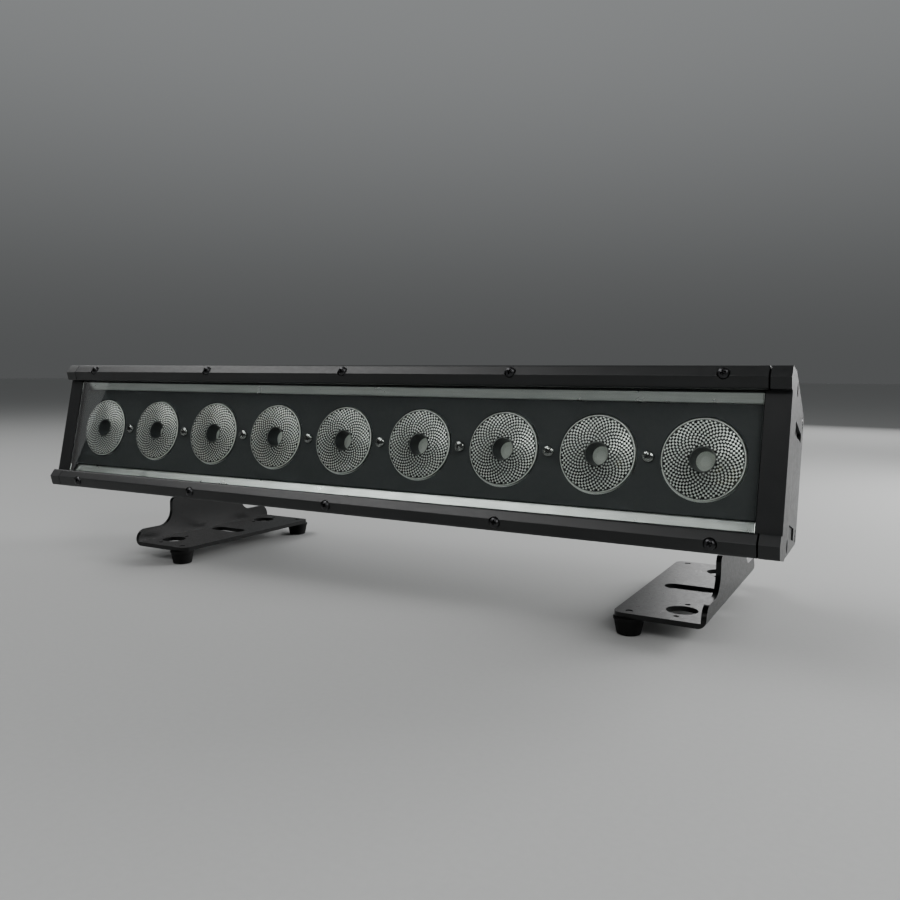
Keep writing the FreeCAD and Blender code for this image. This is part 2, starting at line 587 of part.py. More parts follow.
def foot_cutters(bottom):
    """Lock holes with their rivet holes, the clamp slot and the rubber feet's screw holes."""
    reach = 10
    tools = []
    for y in (POST_Y - QUICK_LOCK_SPACING / 2, POST_Y + QUICK_LOCK_SPACING / 2):
        tools.append(rod(QUICK_LOCK_R, reach, (LOCK_X, y, bottom - 2), Z_AXIS))
        for offset in (-RIVET_SPACING / 2, RIVET_SPACING / 2):
            tools.append(rod(RIVET_R, reach, (LOCK_X, y + offset, bottom - 2), Z_AXIS))
    for y in rubber_foot_ys():
        tools.append(rod(2.1, reach, (RUBBER_X, y, bottom - 2), Z_AXIS))
    slot_ends = (SLOT_X - SLOT_LENGTH / 2 + SLOT_R, SLOT_X + SLOT_LENGTH / 2 - SLOT_R)
    tools.append(box(slot_ends[0], slot_ends[1], POST_Y - SLOT_R, POST_Y + SLOT_R, bottom - 2, bottom + 8))
    tools += [rod(SLOT_R, reach, (x, POST_Y, bottom - 2), Z_AXIS) for x in slot_ends]
    return tools


def bracket(side):
    """Bent steel sheet: foot plate, upstand and arm in one piece."""
    inner = ARM_X - SHEET
    bottom, flange_top = FOOT_TOP_Z - SHEET, FOOT_TOP_Z + FLANGE_H
    bend_r, toe_r, fillet_r = 5.0, 8.0, 12.0
    foot = box(FOOT_INNER_X, ARM_X, FOOT_FRONT_Y, FOOT_REAR_Y, bottom, FOOT_TOP_Z)
    corners = [e for e in foot.Edges if abs(e.tangentAt(e.FirstParameter).z) > 0.99
               and e.CenterOfMass.x < FOOT_INNER_X + 1]
    foot = foot.makeFillet(6.0, corners)
    flange = box(inner, ARM_X, FOOT_FRONT_Y, FOOT_REAR_Y, bottom, flange_top)
    toes = [e for e in flange.Edges if abs(e.tangentAt(e.FirstParameter).x) > 0.99
            and e.CenterOfMass.z > flange_top - 1]
    flange = flange.makeFillet(toe_r, toes)
    front, rear = POST_Y - POST_HALF, POST_Y + POST_HALF
    webs = [web_fillet(inner, y, out, flange_top, fillet_r) for y, out in ((front, -1), (rear, 1))]
    body = fuse([foot, flange, arm(inner, front, rear, bottom + 1)] + webs)
    edges = [e for e in body.Edges if e.CenterOfMass.x > ARM_X - 0.01
             and abs(e.CenterOfMass.z - bottom) < 0.01]
    body = body.makeFillet(bend_r, edges)
    py, pz = pivot_world()
    tools = [rod(BOLT_R + RUN_FIT, 20, (inner - 5, py, pz), X_AXIS)] + foot_cutters(bottom)
    body = cut(body, tools)
    return body if side > 0 else mirrored(body)


def rubber_foot_ys():
    return FOOT_FRONT_Y + RUBBER_INSET, FOOT_REAR_Y - RUBBER_INSET


def rubber_feet(side):
    base = FOOT_TOP_Z - SHEET - RUBBER_H
    feet = []
    for y in rubber_foot_ys():
        foot = Part.makeCone(RUBBER_BOTTOM_R, RUBBER_TOP_R, RUBBER_H, V(RUBBER_X, y, base), Z_AXIS)
        feet.append(cut(foot, [rod(RUBBER_POCKET_R, RUBBER_POCKET_DEPTH + 1, (RUBBER_X, y, base - 1), Z_AXIS),
                               rod(2.0, RUBBER_H + 2, (RUBBER_X, y, base - 1), Z_AXIS)]))
    pair = group(feet)
    return pair if side > 0 else mirrored(pair)


def foot_screws(side):
    """Screws from below, sunk in the rubber feet and ending just under the foot plate's top."""
    seat = FOOT_TOP_Z - SHEET - RUBBER_H + RUBBER_POCKET_DEPTH
    length = FOOT_TOP_Z - 0.4 - seat
    pair = group([pan_screw((RUBBER_X, y, seat), -Z_AXIS, 3.6, 2.0, 1.95, length) for y in rubber_foot_ys()])
    return pair if side > 0 else mirrored(pair)


# --- assembly -----------------------------------------------------------------
def build():
    nodes = {
        "housing_extrusion": housing_extrusion(),
        "top_clamp_rail": clamp_rail(1),
        "bottom_clamp_rail": clamp_rail(-1),
        "top_rail_screws": rail_screws(1),
        "bottom_rail_screws": rail_screws(-1),
        "front_glass": front_glass(),
        "glass_gasket": glass_gasket(),
        "top_reflector_strip": reflector_strip(1),
        "bottom_reflector_strip": reflector_strip(-1),
        "lens_plate": lens_plate(),
        "lens_plate_screws": lens_plate_screws(),
        "lens_plate_standoffs": lens_plate_standoffs(),
        "lens_holders": lens_holders(),
        "led_board": led_board(),
        "led_packages": led_packages(),
        "left_end_cap": end_cap(-1),
        "right_end_cap": end_cap(1),
        "end_cap_gaskets": end_cap_gasket(),
        "end_cap_screws": end_cap_screws(),
        "power_supply": power_supply(),
        "driver_board": driver_board(),
        "control_board": control_board(),
        "wiring_loom": wiring_loom(),
        "rear_panel": rear_panel(),
        "rear_panel_gasket": rear_panel_gasket(),
        "rear_panel_screws": rear_panel_screws(),
        "display_window": display_window(),
        "display_module": display_module(),
        "vent_plug": vent_plug(),
        "safety_eye": safety_eye(),
        "left_pivot_lug": pivot_lug(-1),
        "right_pivot_lug": pivot_lug(1),
        "pivot_lug_screws": pivot_lug_screws(),
        "pivot_bolts": pivot_bolts(),
        "friction_washers": friction_washers(),
        "left_knob": knob(-1),
        "right_knob": knob(1),
    }
    for i, x in enumerate(lens_centres()):
        nodes["lens_%d" % (i + 1)] = lens(x)
    for name, x in SOCKET_X.items():
        nodes[name] = panel_socket(x, POWER_BORES if name.startswith("power") else DATA_BORES)
    for name, x in zip(("menu_button", "down_button", "up_button", "enter_button"), button_xs()):
        nodes[name] = button(x)
    nodes = {name: tilted(shape) for name, shape in nodes.items()}
    for side, word in ((-1, "left"), (1, "right")):
        nodes[word + "_bracket"] = bracket(side)
        nodes[word + "_rubber_feet"] = rubber_feet(side)
        nodes[word + "_foot_screws"] = foot_screws(side)
    return nodes


def main():
    os.makedirs("parts", exist_ok=True)
    nodes = build()
    shift = floor_shift(nodes.values())
    print("lens-plane centre to origin: y %.3f z %.3f" % (shift.y, shift.z))
    for name, shape in nodes.items():
        shape = shape.translated(shift)
        if not shape.isValid():
            print("invalid shape:", name)
        shape.exportStep("parts/%s.step" % name)
        print("%-24s solids %3d volume %10.1f mm3" % (name, len(shape.Solids), shape.Volume))


main()
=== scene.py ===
"""Looks of a half-metre stage batten: nine spiral-faceted lenses behind one glass on two floor brackets.

New pieces are drawn in millimetres, square to the axes (x along the batten, y into it, z up, y = 0 just
in front of the lenses), and are set into the frame, in metres, when they are finished.
"""

import json
import logging
import math
from contextlib import contextmanager
from dataclasses import dataclass, field
from enum import Enum
from typing import Iterator, Sequence

import bmesh
import bpy
from mathutils import Euler, Matrix, Vector
from mathutils.geometry import delaunay_2d_cdt

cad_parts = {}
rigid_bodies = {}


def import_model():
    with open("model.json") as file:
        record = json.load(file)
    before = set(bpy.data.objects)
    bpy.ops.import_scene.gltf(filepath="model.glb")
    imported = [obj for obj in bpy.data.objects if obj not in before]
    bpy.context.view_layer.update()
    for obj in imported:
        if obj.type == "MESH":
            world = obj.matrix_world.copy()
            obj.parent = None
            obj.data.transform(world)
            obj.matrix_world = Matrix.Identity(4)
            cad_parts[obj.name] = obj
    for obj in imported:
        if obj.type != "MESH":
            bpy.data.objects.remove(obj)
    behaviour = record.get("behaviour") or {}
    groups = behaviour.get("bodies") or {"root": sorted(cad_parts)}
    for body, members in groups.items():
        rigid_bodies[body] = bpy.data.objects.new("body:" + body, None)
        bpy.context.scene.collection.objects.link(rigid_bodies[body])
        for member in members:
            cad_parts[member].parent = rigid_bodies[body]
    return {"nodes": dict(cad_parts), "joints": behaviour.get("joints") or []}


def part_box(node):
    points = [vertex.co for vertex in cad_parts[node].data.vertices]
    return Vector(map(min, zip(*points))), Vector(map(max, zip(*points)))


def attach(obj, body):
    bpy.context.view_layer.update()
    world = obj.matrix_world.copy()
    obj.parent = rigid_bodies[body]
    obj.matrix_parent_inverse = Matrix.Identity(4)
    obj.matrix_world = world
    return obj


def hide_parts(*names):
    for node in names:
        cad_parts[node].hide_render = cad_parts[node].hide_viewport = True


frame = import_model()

LOG = logging.getLogger("batten")
MM = 0.001
ACRYLIC_IOR = 1.49
IN_PLACE = Matrix.Identity(4)
Point2 = tuple[float, float]
Point3 = tuple[float, float, float]
Piece = bpy.types.Object
Material = bpy.types.Material
Socket = bpy.types.NodeSocket


class Side(Enum):
    """The two ends of the batten, seen from the front."""

    LEFT = -1
    RIGHT = 1

    @property
    def word(self) -> str:
        """The side's name as node names use it."""
        return self.name.lower()


# --- modelling steps ---
def deselect_all() -> None:
    """Leave nothing selected, so that an operator acts on one piece only."""
    for item in bpy.context.scene.objects:
        item.select_set(False)


def activate(piece: Piece) -> None:
    """Select one piece alone and make it active.

    Args:
        piece: the object to act on next.
    """
    deselect_all()
    piece.select_set(True)
    bpy.context.view_layer.objects.active = piece


@contextmanager
def editing(piece: Piece, kind: str = "FACE") -> Iterator[None]:
    """Edit mode on one piece, in vertex, edge or face selection.

    Args:
        piece: the object to edit.
        kind: VERT, EDGE or FACE.
    """
    activate(piece)
    bpy.ops.object.mode_set(mode="EDIT")
    bpy.ops.mesh.select_mode(type=kind)
    try:
        yield
    finally:
        bpy.ops.object.mode_set(mode="OBJECT")


def select_none(piece: Piece) -> None:
    """Clear the mesh selection while in object mode."""
    for part in (piece.data.vertices, piece.data.edges, piece.data.polygons):
        part.foreach_set("select", [False] * len(part))


def merge_points(piece: Piece, gap: float = 1e-4) -> None:
    """Join points that lie together and turn every face outwards.

    Args:
        piece: the mesh to clean.
        gap: points closer than this become one.
    """
    with editing(piece, "VERT"):
        bpy.ops.mesh.select_all(action="SELECT")
        bpy.ops.mesh.remove_doubles(threshold=gap)
        bpy.ops.mesh.normals_make_consistent(inside=False)


def modified(piece: Piece, kind: str, **settings: object) -> Piece:
    """Add a modifier and apply it.

    Args:
        piece: the object to change.
        kind: the modifier's type.
        settings: its values.

    Returns:
        The same object.
    """
    activate(piece)
    modifier = piece.modifiers.new(kind.title(), kind)
    for name, value in settings.items():
        setattr(modifier, name, value)
    bpy.ops.object.modifier_apply(modifier=modifier.name)
    return piece


def bevelled(piece: Piece, width: float, segments: int = 2, angle: float = 30.0) -> Piece:
    """Round every edge sharper than an angle.

    Args:
        piece: the object to round.
        width: the bevel's width.
        segments: faces across the bevel.
        angle: the sharpest angle that is left alone, in degrees.

    Returns:
        The same object.
    """
    return modified(piece, "BEVEL", width=width, segments=segments, limit_method="ANGLE",
                    angle_limit=math.radians(angle), harden_normals=False, use_clamp_overlap=True,
                    miter_outer="MITER_ARC")


def cut_by(piece: Piece, tools: Sequence[Piece]) -> Piece:
    """Subtract tools from a piece and delete them.

    Args:
        piece: what is cut.
        tools: closed solids that don't cross each other.

    Returns:
        The cut piece.
    """
    tool = joined("cutter", tools)
    modified(piece, "BOOLEAN", object=tool, operation="DIFFERENCE", solver="EXACT")
    discard(tool)
    return piece


def joined(name: str, parts: Sequence[Piece]) -> Piece:
    """Put several meshes into one object under a name.

    Args:
        name: the name of the result.
        parts: the meshes; the first one takes in the rest.

    Returns:
        The joined object.
    """
    activate(parts[0])
    for part in parts[1:]:
        part.select_set(True)
    if len(parts) > 1:
        bpy.ops.object.join()
    parts[0].name = name
    parts[0].data.name = name
    return parts[0]


def drawn(name: str, outline: Sequence[Point2], plane: str, low: float, high: float) -> Piece:
    """Pull a closed outline into a solid.

    Args:
        name: the object's name.
        outline: its corners, as pairs in the two axes of plane.
        plane: "yz", "xz" or "xy"; the pull is along the axis that is left.
        low: where the pull starts.
        high: where it ends.

    Returns:
        The solid.
    """
    axes = ["xyz".index(letter) for letter in plane]
    pull = ({0, 1, 2} - set(axes)).pop()
    bpy.ops.mesh.primitive_circle_add(vertices=len(outline), radius=1.0, fill_type="NGON")
    piece = bpy.context.object
    piece.name = name
    for vertex, pair in zip(piece.data.vertices, outline):
        place = [low, low, low]
        place[axes[0]], place[axes[1]] = pair
        vertex.co = place
    step = [0.0, 0.0, 0.0]
    step[pull] = high - low
    with editing(piece):
        bpy.ops.mesh.select_all(action="SELECT")
        bpy.ops.mesh.extrude_region_move(TRANSFORM_OT_translate={"value": step})
        bpy.ops.mesh.select_all(action="SELECT")
        bpy.ops.mesh.normals_make_consistent(inside=False)
    return piece


def turned(name: str, profile: Sequence[Point2], steps: int, axis: str = "y") -> Piece:
    """Spin a line of (radius, height) points about an axis.

    Args:
        name: the object's name.
        profile: the line, from end to end.
        steps: how many segments go round.
        axis: x, y or z.

    Returns:
        The turned shell; it is closed where both ends lie on the axis.
    """
    up = "xyz".index(axis)
    out = (up + 1) % 3
    bpy.ops.mesh.primitive_circle_add(vertices=len(profile), radius=1.0, fill_type="NOTHING")
    piece = bpy.context.object
    piece.name = name
    for vertex, (radius, height) in zip(piece.data.vertices, profile):
        place = [0.0, 0.0, 0.0]
        place[up], place[out] = height, radius
        vertex.co = place
    select_none(piece)
    last = len(profile) - 1
    for edge in piece.data.edges:
        edge.select = set(edge.vertices) == {0, last}
    direction = [0.0, 0.0, 0.0]
    direction[up] = 1.0
    with editing(piece, "EDGE"):
        bpy.ops.mesh.delete(type="EDGE")
        bpy.ops.mesh.select_all(action="SELECT")
        bpy.ops.mesh.spin(steps=steps, angle=math.tau, center=(0, 0, 0), axis=direction)
    merge_points(piece)
    return piece


def block(name: str, low: Point3, high: Point3) -> Piece:
    """A box between two corners, added as a cube at its size and place.

    Args:
        name: the object's name.
        low: its lowest corner.
        high: its highest corner.

    Returns:
        The box.
    """
    centre = [(a + b) / 2 for a, b in zip(low, high)]
    size = [b - a for a, b in zip(low, high)]
    bpy.ops.mesh.primitive_cube_add(size=1.0, location=centre, scale=size)
    piece = bpy.context.object
    piece.name = name
    bpy.ops.object.transform_apply(location=True, rotation=True, scale=True)
    return piece


def drum(name: str, radius: float, low: float, high: float, centre: Point2, steps: int) -> Piece:
    """A cylinder along y, from low to high, about a centre in x and z.

    Args:
        name: the object's name.
        radius: its radius.
        low: where it starts along y.
        high: where it ends along y.
        centre: its axis, as x and z.
        steps: how many sides it has.

    Returns:
        The cylinder.
    """
    place = (centre[0], (low + high) / 2, centre[1])
    bpy.ops.mesh.primitive_cylinder_add(vertices=steps, radius=radius, depth=high - low, location=place,
                                        rotation=(math.pi / 2, 0.0, 0.0))
    piece = bpy.context.object
    piece.name = name
    bpy.ops.object.transform_apply(location=True, rotation=True, scale=True)
    return piece


def copied(piece: Piece, offset: Point3 = (0.0, 0.0, 0.0)) -> Piece:
    """A copy with its own mesh, moved by an offset.

    Args:
        piece: what is copied.
        offset: how far the copy is moved.

    Returns:
        The copy.
    """
    twin = linked(piece.name, piece.data.copy())
    twin.data.transform(Matrix.Translation(offset))
    return twin


def smoothed(piece: Piece, angle: float = 35.0) -> Piece:
    """Shade smooth, keeping edges sharper than an angle and flat faces flat.

    Args:
        piece: the object to shade.
        angle: edges sharper than this stay sharp, in degrees.

    Returns:
        The same object.
    """
    activate(piece)
    bpy.ops.object.shade_smooth_by_angle(angle=math.radians(angle))
    return modified(piece, "WEIGHTED_NORMAL", keep_sharp=True, weight=80)


def arc(centre: Point2, radius: float, start: float, end: float, steps: int) -> list[Point2]:
    """Points of an arc, angles in degrees, both ends included.

    Args:
        centre: the arc's centre.
        radius: its radius.
        start: the first angle.
        end: the last angle.
        steps: how many pieces it is cut into.

    Returns:
        The points in order.
    """
    angles = [math.radians(start + (end - start) * k / steps) for k in range(steps + 1)]
    return [(centre[0] + radius * math.cos(a), centre[1] + radius * math.sin(a)) for a in angles]


def rounded_rectangle(half_a: float, half_b: float, radius: float, steps: int = 6) -> list[Point2]:
    """Outline of a rectangle with round corners, about the origin.

    Args:
        half_a: half its length.
        half_b: half its height.
        radius: the corners' radius.
        steps: how many pieces a corner has.

    Returns:
        The outline's points in order.
    """
    a, b = half_a - radius, half_b - radius
    corners = [(a, b, 0), (-a, b, 90), (-a, -b, 180), (a, -b, 270)]
    return [point for x, y, start in corners for point in arc((x, y), radius, start, start + 90, steps)]


def wear(piece: Piece, materials: Sequence[Material | None]) -> None:
    """Put materials in a piece's slots, adding slots where they are missing.

    Args:
        piece: the object to dress.
        materials: one per slot; None leaves a slot empty.
    """
    slots = piece.data.materials
    while len(slots) < len(materials):
        slots.append(None)
    for index, material in enumerate(materials):
        slots[index] = material


def discard(piece: Piece) -> None:
    """Delete a piece that was only modelled to be copied or cut with."""
    bpy.data.objects.remove(piece, do_unlink=True)


def linked(name: str, data: bpy.types.ID) -> Piece:
    """A new object in the scene for a mesh, a lamp or a camera.

    Args:
        name: the object's name.
        data: what it shows.

    Returns:
        The object.
    """
    piece = bpy.data.objects.new(name, data)
    bpy.context.scene.collection.objects.link(piece)
    return piece


# --- the frame ---
@dataclass(frozen=True)
class Placement:
    """Where the head's square drawing and the upright stand drawing sit in the frame."""

    centre: Vector
    facing: Vector
    up: Vector

    @classmethod
    def read(cls) -> "Placement":
        """Find the head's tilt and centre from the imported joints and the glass."""
        press = next(j for j in frame["joints"] if j["name"] == "menu_button_press")
        facing = Vector(press["axis"]).normalized()
        low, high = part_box("front_glass")
        glass_depth = 2.5 * MM
        return cls((low + high) / 2 - facing * glass_depth, facing, facing.cross(Vector((1, 0, 0))))

    @property
    def head(self) -> Matrix:
        """From the head's drawing, in millimetres, to the frame, in metres."""
        into = -self.facing
        turn = Matrix(((1, 0, 0), into, self.up)).transposed().to_4x4()
        return Matrix.Translation(self.centre) @ turn @ Matrix.Scale(MM, 4)

    @property
    def stand(self) -> Matrix:
        """From the upright stand drawing, in millimetres, to the frame, in metres."""
        return Matrix.Translation(self.centre) @ Matrix.Scale(MM, 4)


@dataclass
class Workshop:
    """Sets finished pieces into the frame and keeps the finishes."""

    placement: Placement
    finishes: dict[str, Material] = field(default_factory=dict)

    def finish(self, finish: "Finish") -> Material:
        """The material of a finish, made once.

        Args:
            finish: the finish asked for.

        Returns:
            Its material.
        """
        if finish.name not in self.finishes:
            self.finishes[finish.name] = finish.build()
        return self.finishes[finish.name]

    def install(self, piece: Piece, body: str, slot: str, finishes: Sequence["Finish"],
                nodes: Sequence[str], matrix: Matrix | None = None) -> Piece:
        """Move a drawn piece to its place, dress it, and let it stand for CAD nodes.

        Args:
            piece: the finished mesh.
            body: the CAD body it rides on.
            slot: the record's material slot; not used.
            finishes: one per material index.
            nodes: the CAD nodes it replaces.
            matrix: from the piece's drawing to the frame; None for the head's drawing.

        Returns:
            The installed piece.
        """
        piece.data.transform(self.placement.head if matrix is None else matrix)
        wear(piece, [self.finish(finish) for finish in finishes])
        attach(piece, body)
        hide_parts(*nodes)
        LOG.info("built %s: %d faces", piece.name, len(piece.data.polygons))
        return piece

    def dress(self, finish: "Finish", *nodes: str) -> None:
        """Give CAD nodes a finish without changing their shape.

        Args:
            finish: what they are given.
            nodes: their names.
        """
        for name in nodes:
            node = frame["nodes"][name]
            wear(node, [self.finish(finish)] * max(1, len(node.data.materials)))
            LOG.info("dressed %s", name)

    def refined(self, node: str, name: str, width: float, segments: int = 2, angle: float = 30.0) -> Piece:
        """A copy of a CAD node with its edges rounded, already in the frame's metres.

        Args:
            node: the CAD node to copy.
            name: the new piece's name.
            width: bevel width in millimetres.
            segments: bevel segments.
            angle: edges sharper than this are rounded.

        Returns:
            The refined copy.
        """
        piece = linked(name, frame["nodes"][node].data.copy())
        piece.data.materials.clear()
        merge_points(piece, 1e-6)
        with editing(piece):
            bpy.ops.mesh.select_all(action="SELECT")
            bpy.ops.mesh.customdata_custom_splitnormals_clear()
            bpy.ops.mesh.dissolve_limited(angle_limit=math.radians(0.5))
        bevelled(piece, width * MM, segments, angle)
        return smoothed(piece)


# --- finishes ---
class Tree:
    """A short way to write a material's nodes."""

    def __init__(self, name: str) -> None:
        """Start an empty material with an output.

        Args:
            name: the material's name.
        """
        self.material = bpy.data.materials.new(name)
        self.material.use_nodes = True
        self.nodes = self.material.node_tree.nodes
        self.links = self.material.node_tree.links
        self.nodes.clear()
        self.output = self.nodes.new("ShaderNodeOutputMaterial")

    def add(self, kind: str, inputs: dict | None = None, **settings: object) -> bpy.types.Node:
        """Add a node; inputs hold plain values or sockets to link.

        Args:
            kind: the node's type, without the word ShaderNode.
            inputs: values or sockets by input name or number.
            settings: the node's own settings.

        Returns:
            The node.
        """
        node = self.nodes.new("ShaderNode" + kind)
        for name, value in settings.items():
            setattr(node, name, value)
        for key, value in (inputs or {}).items():
            if isinstance(value, Socket):
                self.links.new(value, node.inputs[key])
            else:
                node.inputs[key].default_value = value
        return node

    def place(self) -> Socket:
        """The piece's own object coordinates."""
        return self.add("TexCoord").outputs["Object"]

    def noise(self, size_mm: float, detail: float = 2.0, roughness: float = 0.5) -> Socket:
        """Noise whose features are about size_mm across, from 0 to 1.

        Args:
            size_mm: size of its features in millimetres.
            detail: how many finer layers it has.
            roughness: how strong those layers are.

        Returns:
            The noise.
        """
        node = self.add("TexNoise", {"Vector": self.place(), "Scale": 1.0 / (size_mm * MM), "Detail": detail,
                                     "Roughness": roughness})
        return node.outputs["Fac"]

    def ramp(self, source: Socket, low: float, high: float, from_low: float = 0.3,
             from_high: float = 0.7) -> Socket:
        """Spread a value between two limits.

        Args:
            source: the value.
            low: the result at from_low.
            high: the result at from_high.
            from_low: where the spread starts.
            from_high: where it ends.

        Returns:
            The spread value.
        """
        node = self.add("MapRange", {"Value": source, "From Min": from_low, "From Max": from_high,
                                     "To Min": low, "To Max": high})
        return node.outputs["Result"]

    def tint(self, source: Socket, dark: Sequence[float], light: Sequence[float]) -> Socket:
        """Mix two colours by a value.

        Args:
            source: the value.
            dark: the colour at 0.
            light: the colour at 1.

        Returns:
            The colour.
        """
        node = self.add("Mix", {0: source}, data_type="RGBA")
        node.inputs[6].default_value = (*dark, 1.0)
        node.inputs[7].default_value = (*light, 1.0)
        return node.outputs[2]

    def bump(self, height: Socket, depth_mm: float, strength: float = 1.0) -> Socket:
        """A bump of a real depth."""
        node = self.add("Bump", {"Height": height, "Distance": depth_mm * MM, "Strength": strength})
        return node.outputs["Normal"]

    def principled(self, inputs: dict) -> bpy.types.Node:
        """The general shader."""
        return self.add("BsdfPrincipled", inputs)

    def surface(self, shader: bpy.types.Node) -> Material:
        """Send a shader to the output and return the material."""
        self.links.new(shader.outputs[0], self.output.inputs["Surface"])
        return self.material

    def lit_through(self, shader: bpy.types.Node, tint: Point3) -> Material:
        """Send a shader to the output that lamps shine through, tinted, to what lies behind.

        Args:
            shader: what the eye sees.
            tint: what is left of the lamps' light.

        Returns:
            The material.
        """
        clear = self.add("BsdfTransparent", {"Color": (*tint, 1.0)})
        return self.surface(self.add("MixShader", {0: self.add("LightPath").outputs["Is Shadow Ray"],
                                                   1: shader.outputs[0], 2: clear.outputs[0]}))


@dataclass(frozen=True)
class Finish:
    """A named surface finish."""

    name: str

    def build(self) -> Material:
        """Make the material."""
        raise NotImplementedError


@dataclass(frozen=True)
class PowderCoat(Finish):
    """Fine textured powder coat: an orange-peel grain with a fine sparkle of roughness."""

    dark: Point3 = (0.004, 0.0046, 0.0048)
    light: Point3 = (0.0085, 0.0094, 0.0098)
    roughness: float = 0.42
    roughness_swing: Point2 = (-0.03, 0.06)
    grain_mm: float = 0.55
    depth_mm: float = 0.035
    patch_mm: float = 38.0
    sparkle_mm: float = 2.4
    shine: float = 0.45

    def build(self) -> Material:
        """Grain bump, patchy tone and roughness."""
        tree = Tree(self.name)
        grain = tree.noise(self.grain_mm, 3.0, 0.6)
        patches = tree.noise(self.patch_mm, 3.0)
        colour = tree.tint(tree.ramp(patches, 0.0, 1.0), self.dark, self.light)
        smoothest, roughest = (self.roughness + swing for swing in self.roughness_swing)
        rough = tree.ramp(tree.noise(self.sparkle_mm, 4.0), smoothest, roughest)
        return tree.surface(tree.principled({
            "Base Color": colour, "Roughness": rough, "Specular IOR Level": self.shine,
            "Normal": tree.bump(grain, self.depth_mm, 0.8)}))


@dataclass(frozen=True)
class Metal(Finish):
    """Plated, brushed or bare metal with a directional grain along x where stretch is above 1."""

    colour: Point3 = (0.6, 0.59, 0.57)
    roughness: float = 0.25
    stretch: float = 1.0
    grain_mm: float = 0.4
    depth_mm: float = 0.004
    patch_mm: float = 9.0
    dark_share: float = 0.86

    def build(self) -> Material:
        """Drawn or cast grain under a metallic surface."""
        tree = Tree(self.name)
        mapping = tree.add("Mapping", {"Vector": tree.place(), "Scale": (1.0 / self.stretch, 1.0, 1.0)})
        node = tree.add("TexNoise", {"Vector": mapping.outputs[0], "Scale": 1.0 / (self.grain_mm * MM),
                                     "Detail": 3.0})
        grain = node.outputs["Fac"]
        dark = tuple(self.dark_share * c for c in self.colour)
        rough = tree.ramp(tree.noise(self.patch_mm, 3.0), self.roughness * 0.8, self.roughness * 1.3)
        return tree.surface(tree.principled({
            "Base Color": tree.tint(tree.ramp(grain, 0.0, 1.0), dark, self.colour), "Metallic": 1.0,
            "Roughness": rough, "Normal": tree.bump(grain, self.depth_mm)}))


@dataclass(frozen=True)
class Moulded(Finish):
    """Moulded plastic, rubber or coating with a spark-eroded grain."""

    colour: Point3 = (0.012, 0.012, 0.012)
    roughness: float = 0.5
    grain_mm: float = 0.35
    depth_mm: float = 0.015
    sheen_mm: float = 7.0
    patch_mm: float = 16.0
    shine: float = 0.5

    def build(self) -> Material:
        """Even grain and a slightly patchy shine."""
        tree = Tree(self.name)
        grain = tree.noise(self.grain_mm, 2.0)
        light = tuple(min(1.0, 1.35 * c + 0.0005) for c in self.colour)
        sheen = tree.noise(self.sheen_mm, 3.0)
        rough = tree.ramp(sheen, self.roughness * 0.9, min(1.0, self.roughness * 1.15))
        patches = tree.ramp(tree.noise(self.patch_mm, 2.0), 0.0, 1.0)
        return tree.surface(tree.principled({
            "Base Color": tree.tint(patches, self.colour, light), "Roughness": rough,
            "Specular IOR Level": self.shine, "Normal": tree.bump(grain, self.depth_mm)}))


@dataclass(frozen=True)
class ClearBody(Finish):
    """Clear glass or acrylic that bends what is behind it and lets lamps through."""

    colour: Point3 = (0.97, 0.985, 0.98)
    roughness: float = 0.0
    ior: float = 1.5
    lamp_tint: Point3 = (0.9, 0.92, 0.91)

    def build(self) -> Material:
        """Transmission for the eye, a clear path for lamps."""
        tree = Tree(self.name)
        glass = tree.principled({"Base Color": (*self.colour, 1.0), "Roughness": self.roughness,
                                 "IOR": self.ior, "Transmission Weight": 1.0})
        return tree.lit_through(glass, self.lamp_tint)


@dataclass(frozen=True)
class WellWall(Finish):
    """Satin side of the lens's centre well, painted dark as the shade inside the clear well, which still lets
    lamps through to the disc below.
    """

    # painted shade: the clear acrylic wall is given a near-black colour
    colour: Point3 = (0.012, 0.0135, 0.014)
    roughness: float = 0.38
    roughness_swing: float = 0.08
    light_share: float = 1.6
    lamp_tint: Point3 = (0.85, 0.87, 0.86)

    def build(self) -> Material:
        """A face in painted shade for the eye, a clear path for lamps."""
        tree = Tree(self.name)
        rough = tree.ramp(tree.noise(1.2, 3.0), self.roughness - self.roughness_swing,
                          self.roughness + self.roughness_swing)
        light = tuple(self.light_share * c for c in self.colour)
        wall = tree.principled({"Base Color": tree.tint(tree.noise(2.5, 2.0), self.colour, light),
                                "Roughness": rough, "Normal": tree.bump(tree.noise(0.5, 2.0), 0.01)})
        return tree.lit_through(wall, self.lamp_tint)


